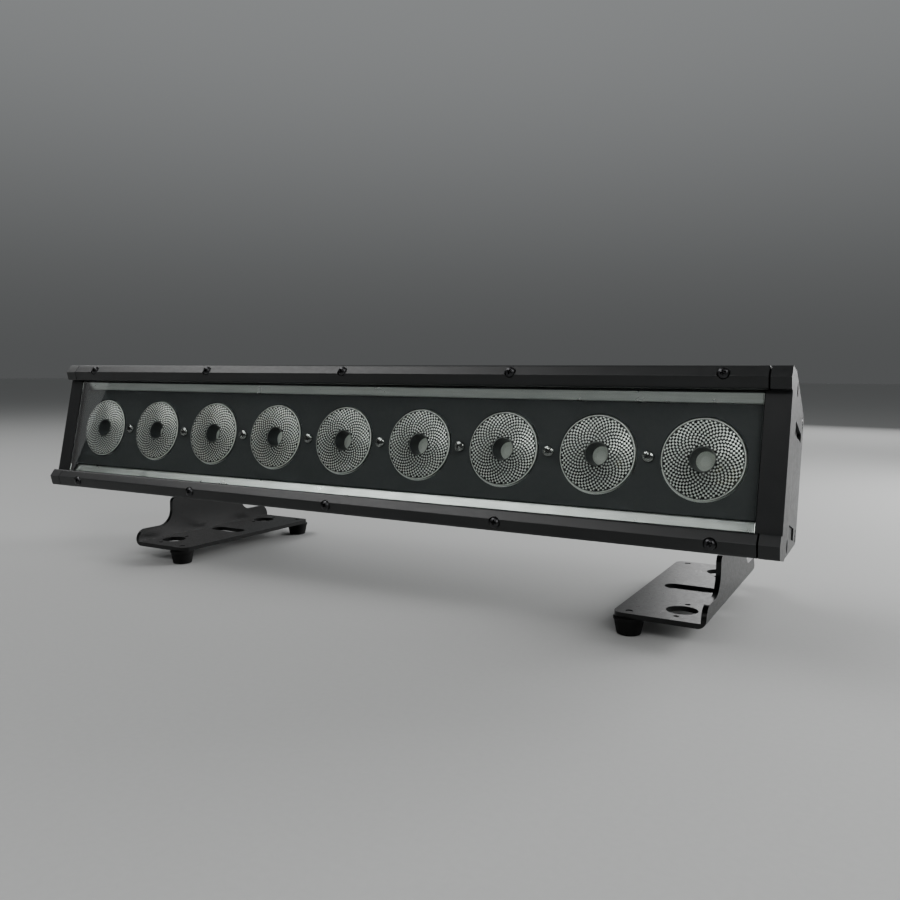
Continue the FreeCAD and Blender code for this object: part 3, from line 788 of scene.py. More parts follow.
@dataclass(frozen=True)
class FacetedFace(Finish):
    """Prismatic lens front: a painted highlight on the crowns, painted shade in the pits, partly clear,
    dished like the reflector behind.

    The crowns and the dish come from the mesh's own cell and dish attributes; the dish also paints shade
    darker towards the lens centre.
    """

    # pit is painted shade between the cells; crown is a painted highlight on each cell's top
    pit: Point3 = (0.003, 0.0032, 0.0032)
    crown: Point3 = (0.93, 0.95, 0.9)
    metallic: float = 0.55
    roughness: float = 0.36
    pit_roughness: float = 0.75
    clear: Point3 = (0.97, 0.98, 0.97)
    clear_share: float = 0.12
    dish_mm: float = 11.0
    lamp_tint: Point3 = (0.7, 0.72, 0.7)

    def build(self) -> Material:
        """Painted crown highlights and pit shade, darker towards the centre as painted shade, over a dished
        normal, with a share of clear acrylic.
        """
        tree = Tree(self.name)
        cell = tree.add("Attribute", attribute_name="cell").outputs["Fac"]
        dish = tree.add("Attribute", attribute_name="dish").outputs["Fac"]
        # crowns gives the painted highlight on the cells' tops and the painted shade in the pits; the dish
        # ramp paints shade darker towards the lens centre
        crowns, painted_centre_shade = tree.ramp(cell, 0.0, 1.0, 0.34, 0.8), tree.ramp(dish, 0.55, 1.0, 0.3, 0.85)
        shade = tree.add("Math", {0: crowns, 1: painted_centre_shade}, operation="MULTIPLY")
        pearl = tree.principled({"Base Color": tree.tint(shade.outputs[0], self.pit, self.crown),
                                 "Metallic": self.metallic, "Normal": tree.bump(dish, self.dish_mm),
                                 "Roughness": tree.ramp(cell, self.pit_roughness, self.roughness, 0.3, 0.8)})
        clear = tree.principled({"Base Color": (*self.clear, 1.0), "Roughness": 0.03, "IOR": ACRYLIC_IOR,
                                 "Transmission Weight": 1.0})
        body = tree.add("MixShader", {0: self.clear_share, 1: pearl.outputs[0], 2: clear.outputs[0]})
        return tree.lit_through(body, self.lamp_tint)


@dataclass(frozen=True)
class FrostedBody(Finish):
    """Acrylic with a frosted, light-scattering face."""

    colour: Point3 = (0.5, 0.51, 0.475)
    roughness: float = 0.55
    clear_share: float = 0.25
    grain_mm: float = 0.18
    depth_mm: float = 0.02

    def build(self) -> Material:
        """Mostly diffuse with a little transmission and a fine etched grain."""
        tree = Tree(self.name)
        grain = tree.noise(self.grain_mm, 2.0)
        light = tuple(1.1 * c for c in self.colour)
        return tree.surface(tree.principled({
            "Base Color": tree.tint(grain, self.colour, light), "Roughness": self.roughness,
            "Transmission Weight": self.clear_share, "IOR": ACRYLIC_IOR,
            "Normal": tree.bump(grain, self.depth_mm)}))


HOUSING_COAT = PowderCoat("housing_powder_coat")
RAIL_COAT = PowderCoat("rail_powder_coat", roughness=0.4)
# painted shade: a near-black, dull colour on the floor of the end caps' side recesses
RECESS_SHADE = Moulded("side_panel_film", colour=(0.002, 0.0023, 0.0024), roughness=0.9, depth_mm=0.004,
                     shine=0.06)
BRACKET_COAT = PowderCoat("bracket_powder_coat", dark=(0.0015, 0.0018, 0.0019), light=(0.0035, 0.0039, 0.004),
                          roughness=0.3, grain_mm=0.45, shine=0.32)
PLATE_COAT = PowderCoat("lens_plate_coat", dark=(0.006, 0.0078, 0.0082), light=(0.009, 0.0112, 0.0118),
                        roughness=0.62, grain_mm=0.35, depth_mm=0.02)
PANEL_COAT = PowderCoat("rear_panel_coat", roughness=0.5)
NICKEL = Metal("nickel_plate", colour=(0.55, 0.55, 0.52), roughness=0.16)
# painted shade: a darker copy of the nickel plate, standing in for the dark reflections on the deck screws
SHADED_NICKEL = Metal("dark_nickel_plate", colour=(0.27, 0.27, 0.26), roughness=0.13)
BLACK_ZINC = Metal("black_zinc", colour=(0.05, 0.05, 0.052), roughness=0.3)
BARE_ALUMINIUM = Metal("bare_aluminium", colour=(0.48, 0.49, 0.47), roughness=0.33, stretch=40.0,
                       grain_mm=0.9, depth_mm=0.0008)
FOLDED_ALUMINIUM = Metal("folded_aluminium", colour=(0.6, 0.6, 0.6), roughness=0.35, stretch=20.0)
BLACK_RUBBER = Moulded("black_rubber", colour=(0.0015, 0.0016, 0.0016), roughness=0.75, grain_mm=0.5,
                       depth_mm=0.03, shine=0.25)
BLACK_NYLON = Moulded("black_nylon", colour=(0.01, 0.01, 0.0105), roughness=0.45)
BUTTON_RUBBER = Moulded("button_rubber", colour=(0.06, 0.06, 0.062), roughness=0.6)
POWER_NYLON = Moulded("power_nylon", colour=(0.012, 0.03, 0.14), roughness=0.4)
WHITE_MASK = Moulded("white_solder_mask", colour=(0.6, 0.6, 0.58), roughness=0.4)
PHOSPHOR = Moulded("phosphor", colour=(0.75, 0.62, 0.18), roughness=0.35)
CIRCUIT = Moulded("circuit_board", colour=(0.01, 0.09, 0.035), roughness=0.35, grain_mm=0.8)
WIRE = Moulded("wire_insulation", colour=(0.2, 0.012, 0.01), roughness=0.4)
FIBRE = Moulded("red_fibre", colour=(0.2, 0.05, 0.025), roughness=0.75)
SMOKED = Moulded("smoked_acrylic", colour=(0.004, 0.004, 0.005), roughness=0.06, depth_mm=0.001)
FRONT_GLASS = ClearBody("front_glass", colour=(0.95, 0.985, 0.975))
LENS_ACRYLIC = ClearBody("lens_acrylic", colour=(0.98, 0.985, 0.98), roughness=0.03,
                         ior=ACRYLIC_IOR)
FACETED_FACE = FacetedFace("faceted_lens_front")
WELL_WALL = WellWall("satin_well_wall")
FROSTED = FrostedBody("frosted_lens_centre")


# --- optics ---
@dataclass
class LensRow:
    """Nine clear collimators with a sunflower pattern of pillow facets on their fronts."""

    shop: Workshop
    count: int = 9
    pitch: float = 55.5
    radius: float = 21.0
    front: float = 1.0
    depth: float = 24.0
    recess_radius: float = 6.25
    recess_depth: float = 9.0
    cell_constant: float = 0.93
    cell_height: float = 0.22
    saddle: float = 0.5
    far_gap: float = 1.32
    seed_margin: float = 0.45
    border_rise: float = 0.55
    steps: int = 120
    rib_depth: float = 0.3
    face_inset: float = 0.5
    rim: float = 1.9
    rim_rounding: float = 0.45
    rim_line: tuple[Point2, ...] = ((-0.5, 0.0), (-0.15, 0.12), (0.0, 0.45), (0.0, 1.8), (-0.2, 2.0))
    flank_line: tuple[Point2, ...] = ((19.8, 2.0), (18.9, 5.0), (17.5, 8.5), (15.6, 12.0), (13.2, 16.0),
                                      (10.4, 20.0), (6.6, 24.0))
    pocket_line: tuple[Point2, ...] = ((4.6, 0.0), (4.5, -4.2), (3.2, -4.8), (0.0, -5.0))
    well_line: tuple[Point2, ...] = ((0.0, 0.0), (-0.25, 0.6), (-1.0, 9.0))
    disc_line: tuple[Point2, ...] = ((-1.0, 0.0), (-1.15, -0.35), (-2.3, -0.55), (-3.6, -0.7), (-6.25, -0.75))
    rib_band: Point2 = (-2.5, -1.1)

    def centres(self) -> list[float]:
        """Where the lenses stand along the batten."""
        return [(i - (self.count - 1) / 2) * self.pitch for i in range(self.count)]

    def seeds(self) -> list[Vector]:
        """Cell centres on a golden-angle spiral, clear of the rim and the recess."""
        golden = math.pi * (3.0 - math.sqrt(5.0))
        margin = self.seed_margin * self.cell_constant
        inner, outer = self.recess_radius + margin, self.radius - self.face_inset - margin
        last = int((outer / self.cell_constant) ** 2) + 1
        spots = []
        for n in range(1, last):
            r = self.cell_constant * math.sqrt(n)
            if inner < r < outer:
                spots.append(Vector((r * math.cos(n * golden), r * math.sin(n * golden))))
        return spots

    def rings(self) -> tuple[list[Vector], list[Vector]]:
        """The outer and inner edge of the faceted face."""
        def circle(r: float) -> list[Vector]:
            """Points round the lens axis at a radius."""
            turn = math.tau / self.steps
            return [Vector((r * math.cos(k * turn), r * math.sin(k * turn))) for k in range(self.steps)]
        return circle(self.radius - self.face_inset), circle(self.recess_radius)

    def facets(self) -> Piece:
        """Pillow facets: each cell rises to its seed and falls to its borders.

        Two point attributes go with the shape: cell is 1 on a cell's crown and 0 in the pits between
        cells, and dish is the distance from the lens axis as a share of the radius.

        Returns:
            The faceted ring, open at its two edges.
        """
        seeds = self.seeds()
        outer, inner = self.rings()
        borders = [(len(seeds) + offset + k, len(seeds) + offset + (k + 1) % self.steps)
                   for offset in (0, self.steps) for k in range(self.steps)]
        places, _, triangles, origins, _, _ = delaunay_2d_cdt(seeds + outer + inner, borders, [], 0, 1e-6)
        crowns = {k for k, source in enumerate(origins) if any(s < len(seeds) for s in source)}
        shape = bmesh.new()
        cell = shape.verts.layers.float.new("cell")
        dish = shape.verts.layers.float.new("dish")

        def point(place: Vector, rise: float) -> bmesh.types.BMVert:
            """A point of the face.

            Args:
                place: where it lies across the face.
                rise: its share of a cell's height.

            Returns:
                The point.
            """
            vertex = shape.verts.new((place.x, self.front - rise * self.cell_height, place.y))
            vertex[cell], vertex[dish] = rise, place.length / self.radius
            return vertex

        tops = [point(place, 1.0 if k in crowns else self.border_rise) for k, place in enumerate(places)]
        ridges: dict[tuple[int, int], bmesh.types.BMVert] = {}
        for triangle in triangles:
            middle = sum((places[k] for k in triangle), Vector((0.0, 0.0))) / 3.0
            if middle.length < self.recess_radius:
                continue
            pit = point(middle, 0.0)
            for a, b in zip(triangle, list(triangle[1:]) + [triangle[0]]):
                key = (min(a, b), max(a, b))
                if key not in ridges:
                    gap = (places[a] - places[b]).length / (math.sqrt(math.pi) * self.cell_constant)
                    rise = self.saddle * min(1.0, max(0.0, (self.far_gap - gap) / (self.far_gap - 1.0)))
                    ridges[key] = point((places[a] + places[b]) / 2.0, rise)
                shape.faces.new((tops[a], ridges[key], pit))
                shape.faces.new((ridges[key], tops[b], pit))
        for vertex in [v for v in shape.verts if not v.link_faces]:
            shape.verts.remove(vertex)
        mesh = bpy.data.meshes.new("facets")
        shape.to_mesh(mesh)
        shape.free()
        return linked("facets", mesh)

    def shell(self) -> Piece:
        """Rim, curved flank and LED pocket behind the facets."""
        back = self.front + self.depth
        profile = [(self.radius + r, self.front + y) for r, y in self.rim_line]
        profile += [(r, self.front + y) for r, y in self.flank_line]
        return turned("shell", profile + [(r, back + y) for r, y in self.pocket_line], self.steps)

    def recess(self) -> tuple[Piece, Piece]:
        """Centre well, and the frosted disc at its bottom with ribs round its edge."""
        edge, bottom = self.recess_radius, self.front + self.recess_depth
        well = turned("well", [(edge + r, self.front + y) for r, y in self.well_line], self.steps)
        disc = turned("disc", [(edge + r, bottom + y) for r, y in self.disc_line], self.steps)
        for vertex in disc.data.vertices:
            x, _, z = vertex.co
            step = round(math.degrees(math.atan2(z, x)) / (360.0 / self.steps))
            if self.rib_band[0] < math.hypot(x, z) - edge < self.rib_band[1] and step % 3 == 0:
                vertex.co.y += self.rib_depth
        return well, disc

    def build(self) -> None:
        """One lens is modelled and copied to the nine places."""
        finishes = [FACETED_FACE, LENS_ACRYLIC, WELL_WALL, FROSTED]
        parts = [self.facets(), self.shell(), *self.recess()]
        for index, part in enumerate(parts):
            for finish in finishes:
                part.data.materials.append(self.shop.finish(finish))
            part.data.polygons.foreach_set("material_index", [index] * len(part.data.polygons))
        # the rim's outer side, in the plate hole, takes the well wall's painted shade; its front rounding
        # takes the frosted finish
        for face in parts[1].data.polygons:
            x, y, z = face.center
            if math.hypot(x, z) > self.radius - self.face_inset - 0.1 and y < self.front + self.rim:
                rounding = y < self.front + self.rim_rounding
                face.material_index = finishes.index(FROSTED if rounding else WELL_WALL)
        lens = joined("lens_optic", parts)
        merge_points(lens, 2e-3)
        activate(lens)
        bpy.ops.object.shade_smooth_by_angle(angle=math.radians(24.0))
        for number, x in enumerate(self.centres(), start=1):
            optic = copied(lens, (x, 0.0, 0.0))
            optic.name = f"lens_optic_{number}"
            self.shop.install(optic, "head", "lens", finishes, [f"lens_{number}"])
        discard(lens)


@dataclass(frozen=True)
class ScrewSet:
    """Cross-recess pan-head screws."""

    head_radius: float = 3.0
    head_height: float = 2.3
    shank_radius: float = 1.6
    shank_length: float = 8.0
    tip: float = 0.3
    wing_share: float = 0.62
    thin_share: float = 0.15
    deep_share: float = 0.72
    wing_taper: float = 0.62
    thin_taper: float = 0.8
    edge_share: float = 0.06
    steps: int = 40
    crown: tuple[Point2, ...] = ((1.0, 0.0), (1.0, 0.28), (0.985, 0.42), (0.93, 0.62), (0.8, 0.8),
                                 (0.58, 0.93), (0.3, 0.99), (0.0, 1.0))

    def recess_bar(self, half_x: float, half_z: float) -> Piece:
        """One tapered bar of the cross that is cut into the head.

        Args:
            half_x: half its length along x.
            half_z: half its length along z.

        Returns:
            The bar.
        """
        top = self.head_height
        bar = block("bar", (-half_x, top - self.deep_share * top, -half_z), (half_x, top + 1.0, half_z))
        for vertex in bar.data.vertices:
            if vertex.co.y < top:
                vertex.co.x *= self.wing_taper if half_x > half_z else self.thin_taper
                vertex.co.z *= self.wing_taper if half_z > half_x else self.thin_taper
        return bar

    def model(self) -> Piece:
        """One screw whose head stands up +y, with its seat at y = 0."""
        r, end = self.head_radius, -self.shank_length
        profile = [(0.0, end), (self.shank_radius - self.tip, end), (self.shank_radius, self.tip + end),
                   (self.shank_radius, 0.0), *((a * r, b * self.head_height) for a, b in self.crown)]
        screw = turned("screw", profile, self.steps)
        wing, thin = self.wing_share * r, self.thin_share * r
        for bar in (self.recess_bar(wing, thin), self.recess_bar(thin, wing)):
            cut_by(screw, [bar])
        return smoothed(bevelled(screw, self.edge_share * r, 1, 50.0), 40.0)

    def group(self, name: str, places: Sequence[Point3], axis: Vector, seed: int) -> Piece:
        """Copies of the screw at several places as one piece.

        Args:
            name: the piece's name.
            places: seats of the heads.
            axis: the way the heads point.
            seed: picks how far each recess is turned.

        Returns:
            The joined screws.
        """
        model = self.model()
        face = Vector((0, 1, 0)).rotation_difference(axis).to_matrix().to_4x4()
        screws = []
        for k, place in enumerate(places):
            screw = copied(model)
            turn = (seed * 37 + 53 * k * k + 29 * k) % 90
            spin = Matrix.Rotation(math.radians(turn), 4, "Y")
            screw.data.transform(Matrix.Translation(place) @ face @ spin)
            screws.append(screw)
        discard(model)
        return joined(name, screws)


@dataclass
class LensDeck:
    """Matte plate round the lenses, its bright screws, and the aluminium strips beside it."""

    shop: Workshop
    row: LensRow
    half_x: float = 249.5
    half_z: float = 28.6
    front: float = 1.8
    thickness: float = 1.5
    edge: float = 0.25
    lens_gap: float = 0.7
    screw_hole: float = 1.7
    strip_x: float = 248.8
    strip_edge: float = 0.12
    strip_line: tuple[Point2, ...] = ((3.2, 28.9), (0.8, 34.3), (1.5, 34.5), (4.0, 29.2))
    kit: ScrewSet = ScrewSet(head_radius=3.2, head_height=2.2, shank_radius=1.24)

    def plate(self) -> None:
        """Pressed plate with a rolled edge round each lens hole."""
        outline = rounded_rectangle(self.half_x, self.half_z, 1.0, steps=2)
        plate = drawn("plate", outline, "xz", self.front, self.front + self.thickness)
        wide = self.row.radius + self.lens_gap
        holes = [drum("hole", wide, -2.0, 8.0, (x, 0.0), 96) for x in self.row.centres()]
        holes += [drum("hole", self.screw_hole, -2.0, 8.0, (x, 0.0), 24) for x in self.screw_places()]
        cut_by(plate, holes)
        smoothed(bevelled(plate, self.edge, 2, 40.0))
        plate.name = "lens_deck_plate"
        self.shop.install(plate, "head", "lens_plate_black", [PLATE_COAT], ["lens_plate"])

    def screw_places(self) -> list[float]:
        """Halfway between neighbouring lenses."""
        xs = self.row.centres()
        return [(a + b) / 2 for a, b in zip(xs, xs[1:])]

    def screws(self) -> None:
        """Bright pan-head screws, one in each gap."""
        places = [(x, self.front, 0.0) for x in self.screw_places()]
        screws = self.kit.group("deck_screws", places, Vector((0, -1, 0)), 3)
        # the nickel deck screws take the darker copy of nickel as painted shade
        self.shop.install(screws, "head", "bright_screw", [SHADED_NICKEL], ["lens_plate_screws"])

    def strips(self) -> None:
        """Slanted bare aluminium strips above and below the plate."""
        for word, sign in (("top", 1), ("bottom", -1)):
            outline = [(y, sign * z) for y, z in self.strip_line]
            strip = drawn(f"{word}_strip", outline, "yz", -self.strip_x, self.strip_x)
            smoothed(bevelled(strip, self.strip_edge, 1))
            self.shop.install(strip, "head", "bare_aluminium", [BARE_ALUMINIUM], [f"{word}_reflector_strip"])

    def build(self) -> None:
        """Plate, screws and strips."""
        self.plate()
        self.screws()
        self.strips()


# --- front frame ---
@dataclass
class FrontFrame:
    """Front glass held by a gabled clamp rail above and below."""

    shop: Workshop
    outer: float = 46.5
    ridge: float = 40.3
    inner: float = 34.9
    end: float = 252.0
    screw_pitch: float = 115.4
    screw_z: float = 42.1
    screw_count: int = 5
    seat: float = -9.0
    seat_radius: float = 3.4
    edge: float = 0.3
    glass_half: Point2 = (249.8, 37.6)
    glass_corner: float = 3.0
    glass_y: Point2 = (-4.0, -1.0)
    kit: ScrewSet = ScrewSet(head_radius=3.0, head_height=2.3, shank_radius=1.75, shank_length=10.0)

    def screw_places(self) -> list[float]:
        """Screw positions along a rail."""
        return [(i - (self.screw_count - 1) / 2) * self.screw_pitch for i in range(self.screw_count)]

    def rail(self, word: str, sign: int) -> None:
        """One gabled rail with spot-faced screw seats.

        Args:
            word: top or bottom.
            sign: 1 at the top and -1 at the bottom.
        """
        profile = [(-4.0, self.inner), (-4.0, 38.2), (-2.0, 38.2), (-2.0, self.outer), (-7.4, self.outer),
                   (-8.3, self.outer - 0.8), (-10.9, self.ridge), (-8.6, self.inner + 0.6),
                   (-8.0, self.inner)]
        outline = [(y, sign * z) for y, z in profile]
        rail = drawn(f"{word}_rail", outline, "yz", -self.end, self.end)
        bevelled(rail, self.edge, 2, 15.0)
        seats = [drum("seat", self.seat_radius, -14.0, self.seat, (x, sign * self.screw_z), 40)
                 for x in self.screw_places()]
        cut_by(rail, seats)
        smoothed(rail)
        self.shop.install(rail, "head", "housing_black", [RAIL_COAT], [f"{word}_clamp_rail"])
        places = [(x, self.seat, sign * self.screw_z) for x in self.screw_places()]
        screws = self.kit.group(f"{word}_rail_screw_set", places, Vector((0, -1, 0)), 5 + sign)
        self.shop.install(screws, "head", "black_screw", [BLACK_ZINC], [f"{word}_rail_screws"])

    def glass(self) -> None:
        """Clear pane with ground edges."""
        outline = rounded_rectangle(*self.glass_half, self.glass_corner)
        pane = drawn("front_pane", outline, "xz", *self.glass_y)
        smoothed(bevelled(pane, self.edge, 1, 40.0), 20.0)
        self.shop.install(pane, "head", "glass", [FRONT_GLASS], ["front_glass"])

    def build(self) -> None:
        """Rails, screws and glass."""
        for word, sign in (("top", 1), ("bottom", -1)):
            self.rail(word, sign)
        self.glass()


@dataclass
class Ends:
    """Cast end caps with rounded edges, the floor of the side recess in painted shade, and their screws."""

    shop: Workshop
    end: float = 262.5
    panel_y: Point2 = (16.0, 64.0)
    panel_z: Point2 = (-24.0, 19.0)
    sunk_depth: float = 1.5
    draft: float = 3.0
    draft_start: float = 12.0
    flatness: float = 0.97
    edge: float = 0.9
    seat_depth: float = 5.0
    kit: ScrewSet = ScrewSet(head_radius=3.0, head_height=2.2, shank_radius=1.65, shank_length=9.0)
    screw_spots: tuple[Point2, ...] = ((39.0, 15.0), (-39.0, 15.0), (31.3, 68.6), (-31.3, 68.6))

    def cap(self, side: Side) -> Piece:
        """One cap, the floor of its side recess on the second material index, which holds painted shade.

        Args:
            side: which end it closes.

        Returns:
            The cap, in the frame's metres.
        """
        cap = self.shop.refined(f"{side.word}_end_cap", f"{side.word}_cap", self.edge, 3)
        drawing = self.shop.placement.head.inverted()
        wear(cap, [None, None])
        for face in cap.data.polygons:
            x, y, z = drawing @ face.center
            outside = self.end - (y - self.draft_start) * math.tan(math.radians(self.draft))
            sunk = face.normal.x * side.value > self.flatness and abs(x) < outside - self.sunk_depth
            if sunk and self.panel_y[0] < y < self.panel_y[1] and self.panel_z[0] < z < self.panel_z[1]:
                # the recess floor gets the painted shade
                face.material_index = 1
        return cap

    def build(self) -> None:
        """Both caps and all eight screws."""
        for side in Side:
            self.shop.install(self.cap(side), "head", "housing_black", [HOUSING_COAT, RECESS_SHADE],
                              [f"{side.word}_end_cap"], IN_PLACE)
        sets = []
        for side in Side:
            places = [(side.value * (self.end - self.seat_depth), y, z) for z, y in self.screw_spots]
            sets.append(self.kit.group("set", places, Vector((side.value, 0, 0)), 9))
        screws = joined("cap_screws", sets)
        self.shop.install(screws, "head", "black_screw", [BLACK_ZINC], ["end_cap_screws"])


# --- floor brackets ---
@dataclass
class FloorBracket:
    """Bent sheet-steel bracket with two rubber feet, drawn upright."""

    shop: Workshop
    side: Side
    foot_top: float = -91.7
    sheet: float = 3.0
    rubber_x: float = 177.0
    rubber_ys: Point2 = (31.0, 169.0)
    rubber_height: float = 10.0
    top_radius: float = 8.97
    bottom_radius: float = 7.0
    pocket_radius: float = 4.2
    pocket_depth: float = 4.0
    hole_radius: float = 2.0
    screw_gap: float = 0.4
    edge: float = 0.4

    def foot(self) -> Piece:
        """One tapered rubber foot with a moulded lip and a screw pocket below."""
        under = self.foot_top - self.sheet
        low, roof = under - self.rubber_height, under - self.rubber_height + self.pocket_depth
        pocket, wide, narrow = self.pocket_radius, self.top_radius, self.bottom_radius
        hole = self.hole_radius
        profile = [(hole, under), (hole, roof), (pocket, roof), (pocket, low + 0.5), (pocket + 0.5, low),
                   (narrow - 0.7, low), (narrow - 0.15, low + 0.3), (narrow + 0.1, low + 1.0),
                   (wide - 0.5, under - 1.9), (wide - 0.05, under - 1.5), (wide, under - 0.4),
                   (wide - 0.3, under), (hole, under)]
        return smoothed(turned("foot", profile, 56, "z"), 40.0)

    def build(self) -> None:
        """Bracket, feet and screws of one side."""
        word, stand = self.side.word, self.shop.placement.stand
        body = f"{word}_bracket_set"
        plate = self.shop.refined(f"{word}_bracket", f"{word}_bracket_plate", self.edge, 2, 25.0)
        self.shop.install(plate, body, "bracket_black", [BRACKET_COAT], [f"{word}_bracket"], IN_PLACE)
        foot = self.foot()
        feet = joined(f"{word}_feet", [copied(foot, (self.side.value * self.rubber_x, y, 0.0))
                                       for y in self.rubber_ys])
        discard(foot)
        self.shop.install(feet, body, "rubber", [BLACK_RUBBER], [f"{word}_rubber_feet"], stand)
        seat = self.foot_top - self.sheet - self.rubber_height + self.pocket_depth
        kit = ScrewSet(head_radius=3.6, head_height=2.0, shank_radius=1.95,
                       shank_length=self.foot_top - self.screw_gap - seat)
        places = [(self.side.value * self.rubber_x, y, seat) for y in self.rubber_ys]
        screws = kit.group(f"{word}_foot_screw_pair", places, Vector((0, 0, -1)), 4)
        self.shop.install(screws, body, "black_screw", [BLACK_ZINC], [f"{word}_foot_screws"], stand)


# --- back of the batten ---
@dataclass(frozen=True)
class Casting:
    """A CAD shape that is kept and given broken edges.

    Attributes:
        node: the CAD node.
        body: the body it rides on.
        slot: the record's material slot.
        finish: its finish.
        edge: width of the broken edges in millimetres.
    """

    node: str
    body: str
    slot: str
    finish: "Finish"
    edge: float


@dataclass
class BackGear:
    """Housing, pivots, knobs and the control panel, each with its moulded or machined edges."""

    shop: Workshop

    def castings(self) -> list[Casting]:
        """Every piece in the order it is fitted."""
        fitted = [Casting("housing_extrusion", "head", "housing_black", HOUSING_COAT, 0.25),
                  Casting("rear_panel", "head", "panel_black", PANEL_COAT, 0.3),
                  Casting("vent_plug", "head", "vent_plug", BLACK_NYLON, 0.4),
                  Casting("display_window", "head", "display_window", SMOKED, 0.35),
                  Casting("pivot_bolts", "head", "bright_screw", NICKEL, 0.4)]
        for side in Side:
            fitted.append(Casting(f"{side.word}_pivot_lug", "head", "bracket_black", BRACKET_COAT, 0.5))
            fitted.append(Casting(f"{side.word}_knob", f"{side.word}_knob_body", "knob", BLACK_NYLON, 0.5))
        for word in ("in", "out"):
            fitted.append(Casting(f"power_{word}_socket", "head", "power_socket", POWER_NYLON, 0.35))
            fitted.append(Casting(f"data_{word}_socket", "head", "data_socket", BLACK_NYLON, 0.35))
        for word in ("menu", "down", "up", "enter"):
            fitted.append(Casting(f"{word}_button", f"{word}_button_body", "button", BUTTON_RUBBER, 0.3))
        return fitted

    def build(self) -> None:
        """Break the edges of each piece and dress it."""
        for item in self.castings():
            piece = self.shop.refined(item.node, f"{item.node}_finished", item.edge, 2)
            self.shop.install(piece, item.body, item.slot, [item.finish], [item.node], IN_PLACE)


# --- studio ---
@dataclass(frozen=True)
class Softbox:
    """A rectangular soft light that the camera doesn't see.

    Attributes:
        name: the lamp's name.
        place: where it hangs, in metres.
        size: its width and height in metres.
        power: watts.
        aim: what it points at.
    """

    name: str
    place: Point3
    size: Point2
    power: float
    aim: Point3

    def hang(self) -> None:
        """Put the lamp in the scene."""
        data = bpy.data.lights.new(self.name, "AREA")
        data.shape = "RECTANGLE"
        data.size, data.size_y = self.size
        data.energy = self.power
        lamp = linked(self.name, data)
        lamp.location = self.place
        lamp.visible_camera = False
        lamp.rotation_euler = (Vector(self.aim) - Vector(self.place)).to_track_quat("-Z", "Y").to_euler()


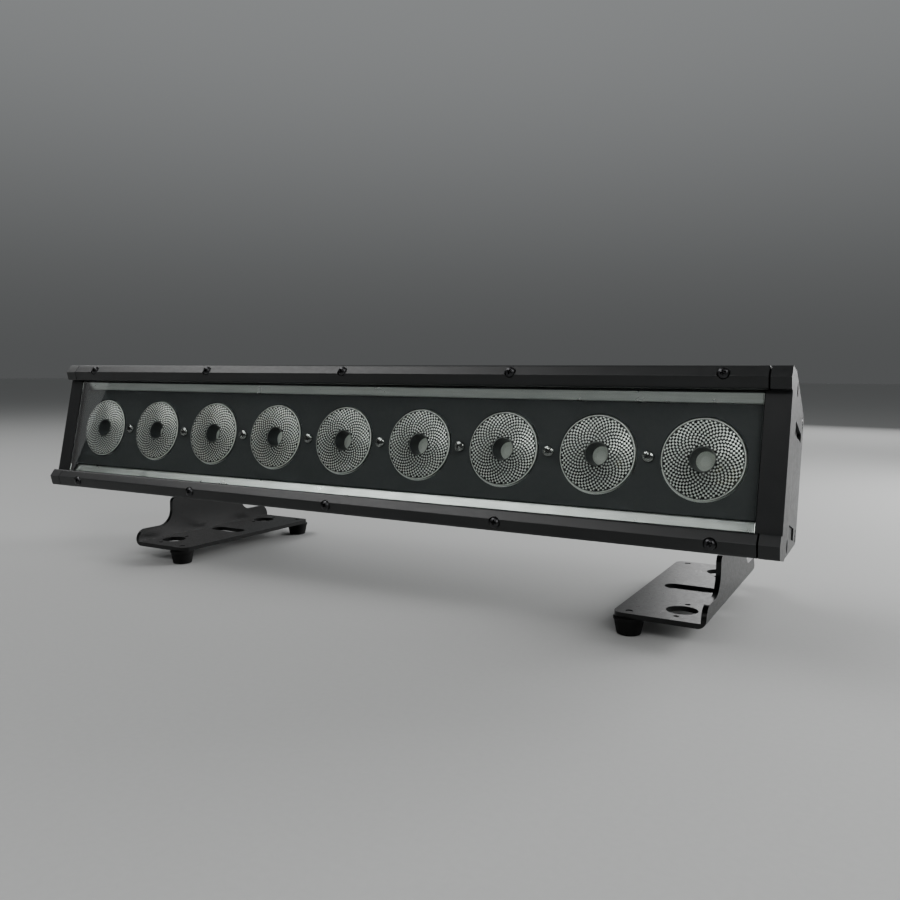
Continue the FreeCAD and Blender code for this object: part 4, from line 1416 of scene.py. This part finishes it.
@dataclass
class Studio:
    """Pale floor, soft lights and the camera.

    The lights are a long soft top, a key from the front right, a weak card at the left, and two from behind.
    """

    placement: Placement
    eye: Point3 = (0.3155, -0.4278, 0.0425)
    turn: Point3 = (84.763, -0.286, 29.168)
    lens: float = 33.62
    depth_ramp: tuple[float, float, float, float] = (-0.2, 0.45, 0.06, 0.26)
    height_ramp: tuple[float, float, float, float] = (0.0, 0.45, 0.35, 1.0)
    wall: Point3 = (0.95, 0.98, 0.99)
    paper: tuple[Point3, Point3] = ((0.46, 0.465, 0.46), (0.5, 0.505, 0.5))
    paper_roughness: float = 0.85
    lamps: tuple[Softbox, ...] = (
        Softbox("top_softbox", (-0.9, -0.6, 1.35), (2.6, 0.6), 21.0, (-0.1, 0, 0.1)),
        Softbox("key_softbox", (1.0, -1.15, 1.15), (0.7, 0.7), 9.0, (0, 0, 0.1)),
        Softbox("left_card", (-3.3, -1.6, 0.9), (1.2, 1.2), 1.6, (0, 0, 0.1)),
        Softbox("back_card", (0.45, 1.9, 0.68), (1.6, 0.9), 11.0, (0.1, 0, 0.05)),
        Softbox("rim_softbox", (0.8, 0.75, 0.4), (0.5, 0.5), 10.0, (0.25, 0, 0.06)))

    def floor(self) -> None:
        """A wide pale floor just under the rubber feet."""
        bpy.ops.mesh.primitive_plane_add(size=30.0, location=(0, 0, -0.0002))
        ground = bpy.context.object
        ground.name = "floor"
        tree = Tree("floor_paper")
        grain = tree.noise(3.0, 3.0)
        ground.data.materials.append(tree.surface(tree.principled({
            "Base Color": tree.tint(grain, *self.paper), "Roughness": self.paper_roughness})))

    def sky(self) -> None:
        """Plain studio wall behind the batten, falling off to a dim room in front."""
        world = bpy.data.worlds.new("studio")
        world.use_nodes = True
        nodes, links = world.node_tree.nodes, world.node_tree.links
        place = nodes.new("ShaderNodeTexCoord")
        parts = nodes.new("ShaderNodeSeparateXYZ")
        product = nodes.new("ShaderNodeMath")
        product.operation = "MULTIPLY"
        links.new(place.outputs["Generated"], parts.inputs[0])
        for index, (letter, ramp) in enumerate((("Y", self.depth_ramp), ("Z", self.height_ramp))):
            spread = nodes.new("ShaderNodeMapRange")
            spread.interpolation_type = "SMOOTHSTEP"
            for name, value in zip(("From Min", "From Max", "To Min", "To Max"), ramp):
                spread.inputs[name].default_value = value
            links.new(parts.outputs[letter], spread.inputs["Value"])
            links.new(spread.outputs["Result"], product.inputs[index])
        links.new(product.outputs[0], nodes["Background"].inputs["Strength"])
        nodes["Background"].inputs["Color"].default_value = (*self.wall, 1.0)
        bpy.context.scene.world = world

    def camera(self) -> None:
        """The camera, to the right of the batten and level with its top."""
        data = bpy.data.cameras.new("camera")
        data.lens = self.lens
        data.sensor_width = 36.0
        data.dof.use_dof = False
        camera = linked("camera", data)
        camera.location = self.placement.centre + Vector(self.eye)
        camera.rotation_euler = Euler([math.radians(a) for a in self.turn], "XYZ")
        bpy.context.scene.camera = camera

    def build(self) -> None:
        """Floor, lights and camera."""
        self.floor()
        for lamp in self.lamps:
            lamp.hang()
        self.sky()
        self.camera()


def dress_cad_nodes(shop: Workshop) -> None:
    """Finishes for the CAD nodes whose shape is kept as it is.

    Args:
        shop: what sets the finishes.
    """
    shop.dress(BLACK_ZINC, "rear_panel_screws", "pivot_lug_screws")
    shop.dress(NICKEL, "lens_plate_standoffs", "safety_eye")
    shop.dress(BLACK_RUBBER, "glass_gasket", "end_cap_gaskets", "rear_panel_gasket")
    shop.dress(BLACK_NYLON, "lens_holders")
    shop.dress(WHITE_MASK, "led_board")
    shop.dress(PHOSPHOR, "led_packages")
    shop.dress(FOLDED_ALUMINIUM, "power_supply")
    shop.dress(CIRCUIT, "driver_board", "control_board")
    shop.dress(WIRE, "wiring_loom")
    shop.dress(FIBRE, "friction_washers")
    shop.dress(SMOKED, "display_module")


def main() -> None:
    """Build every sub-assembly in order."""
    logging.basicConfig(level=logging.INFO, format="%(name)s: %(message)s")
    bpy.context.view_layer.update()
    placement = Placement.read()
    shop = Workshop(placement)
    Studio(placement).build()
    dress_cad_nodes(shop)
    row = LensRow(shop)
    row.build()
    LensDeck(shop, row).build()
    FrontFrame(shop).build()
    Ends(shop).build()
    for side in Side:
        FloorBracket(shop, side).build()
    BackGear(shop).build()


if __name__ == "__main__":
    main()
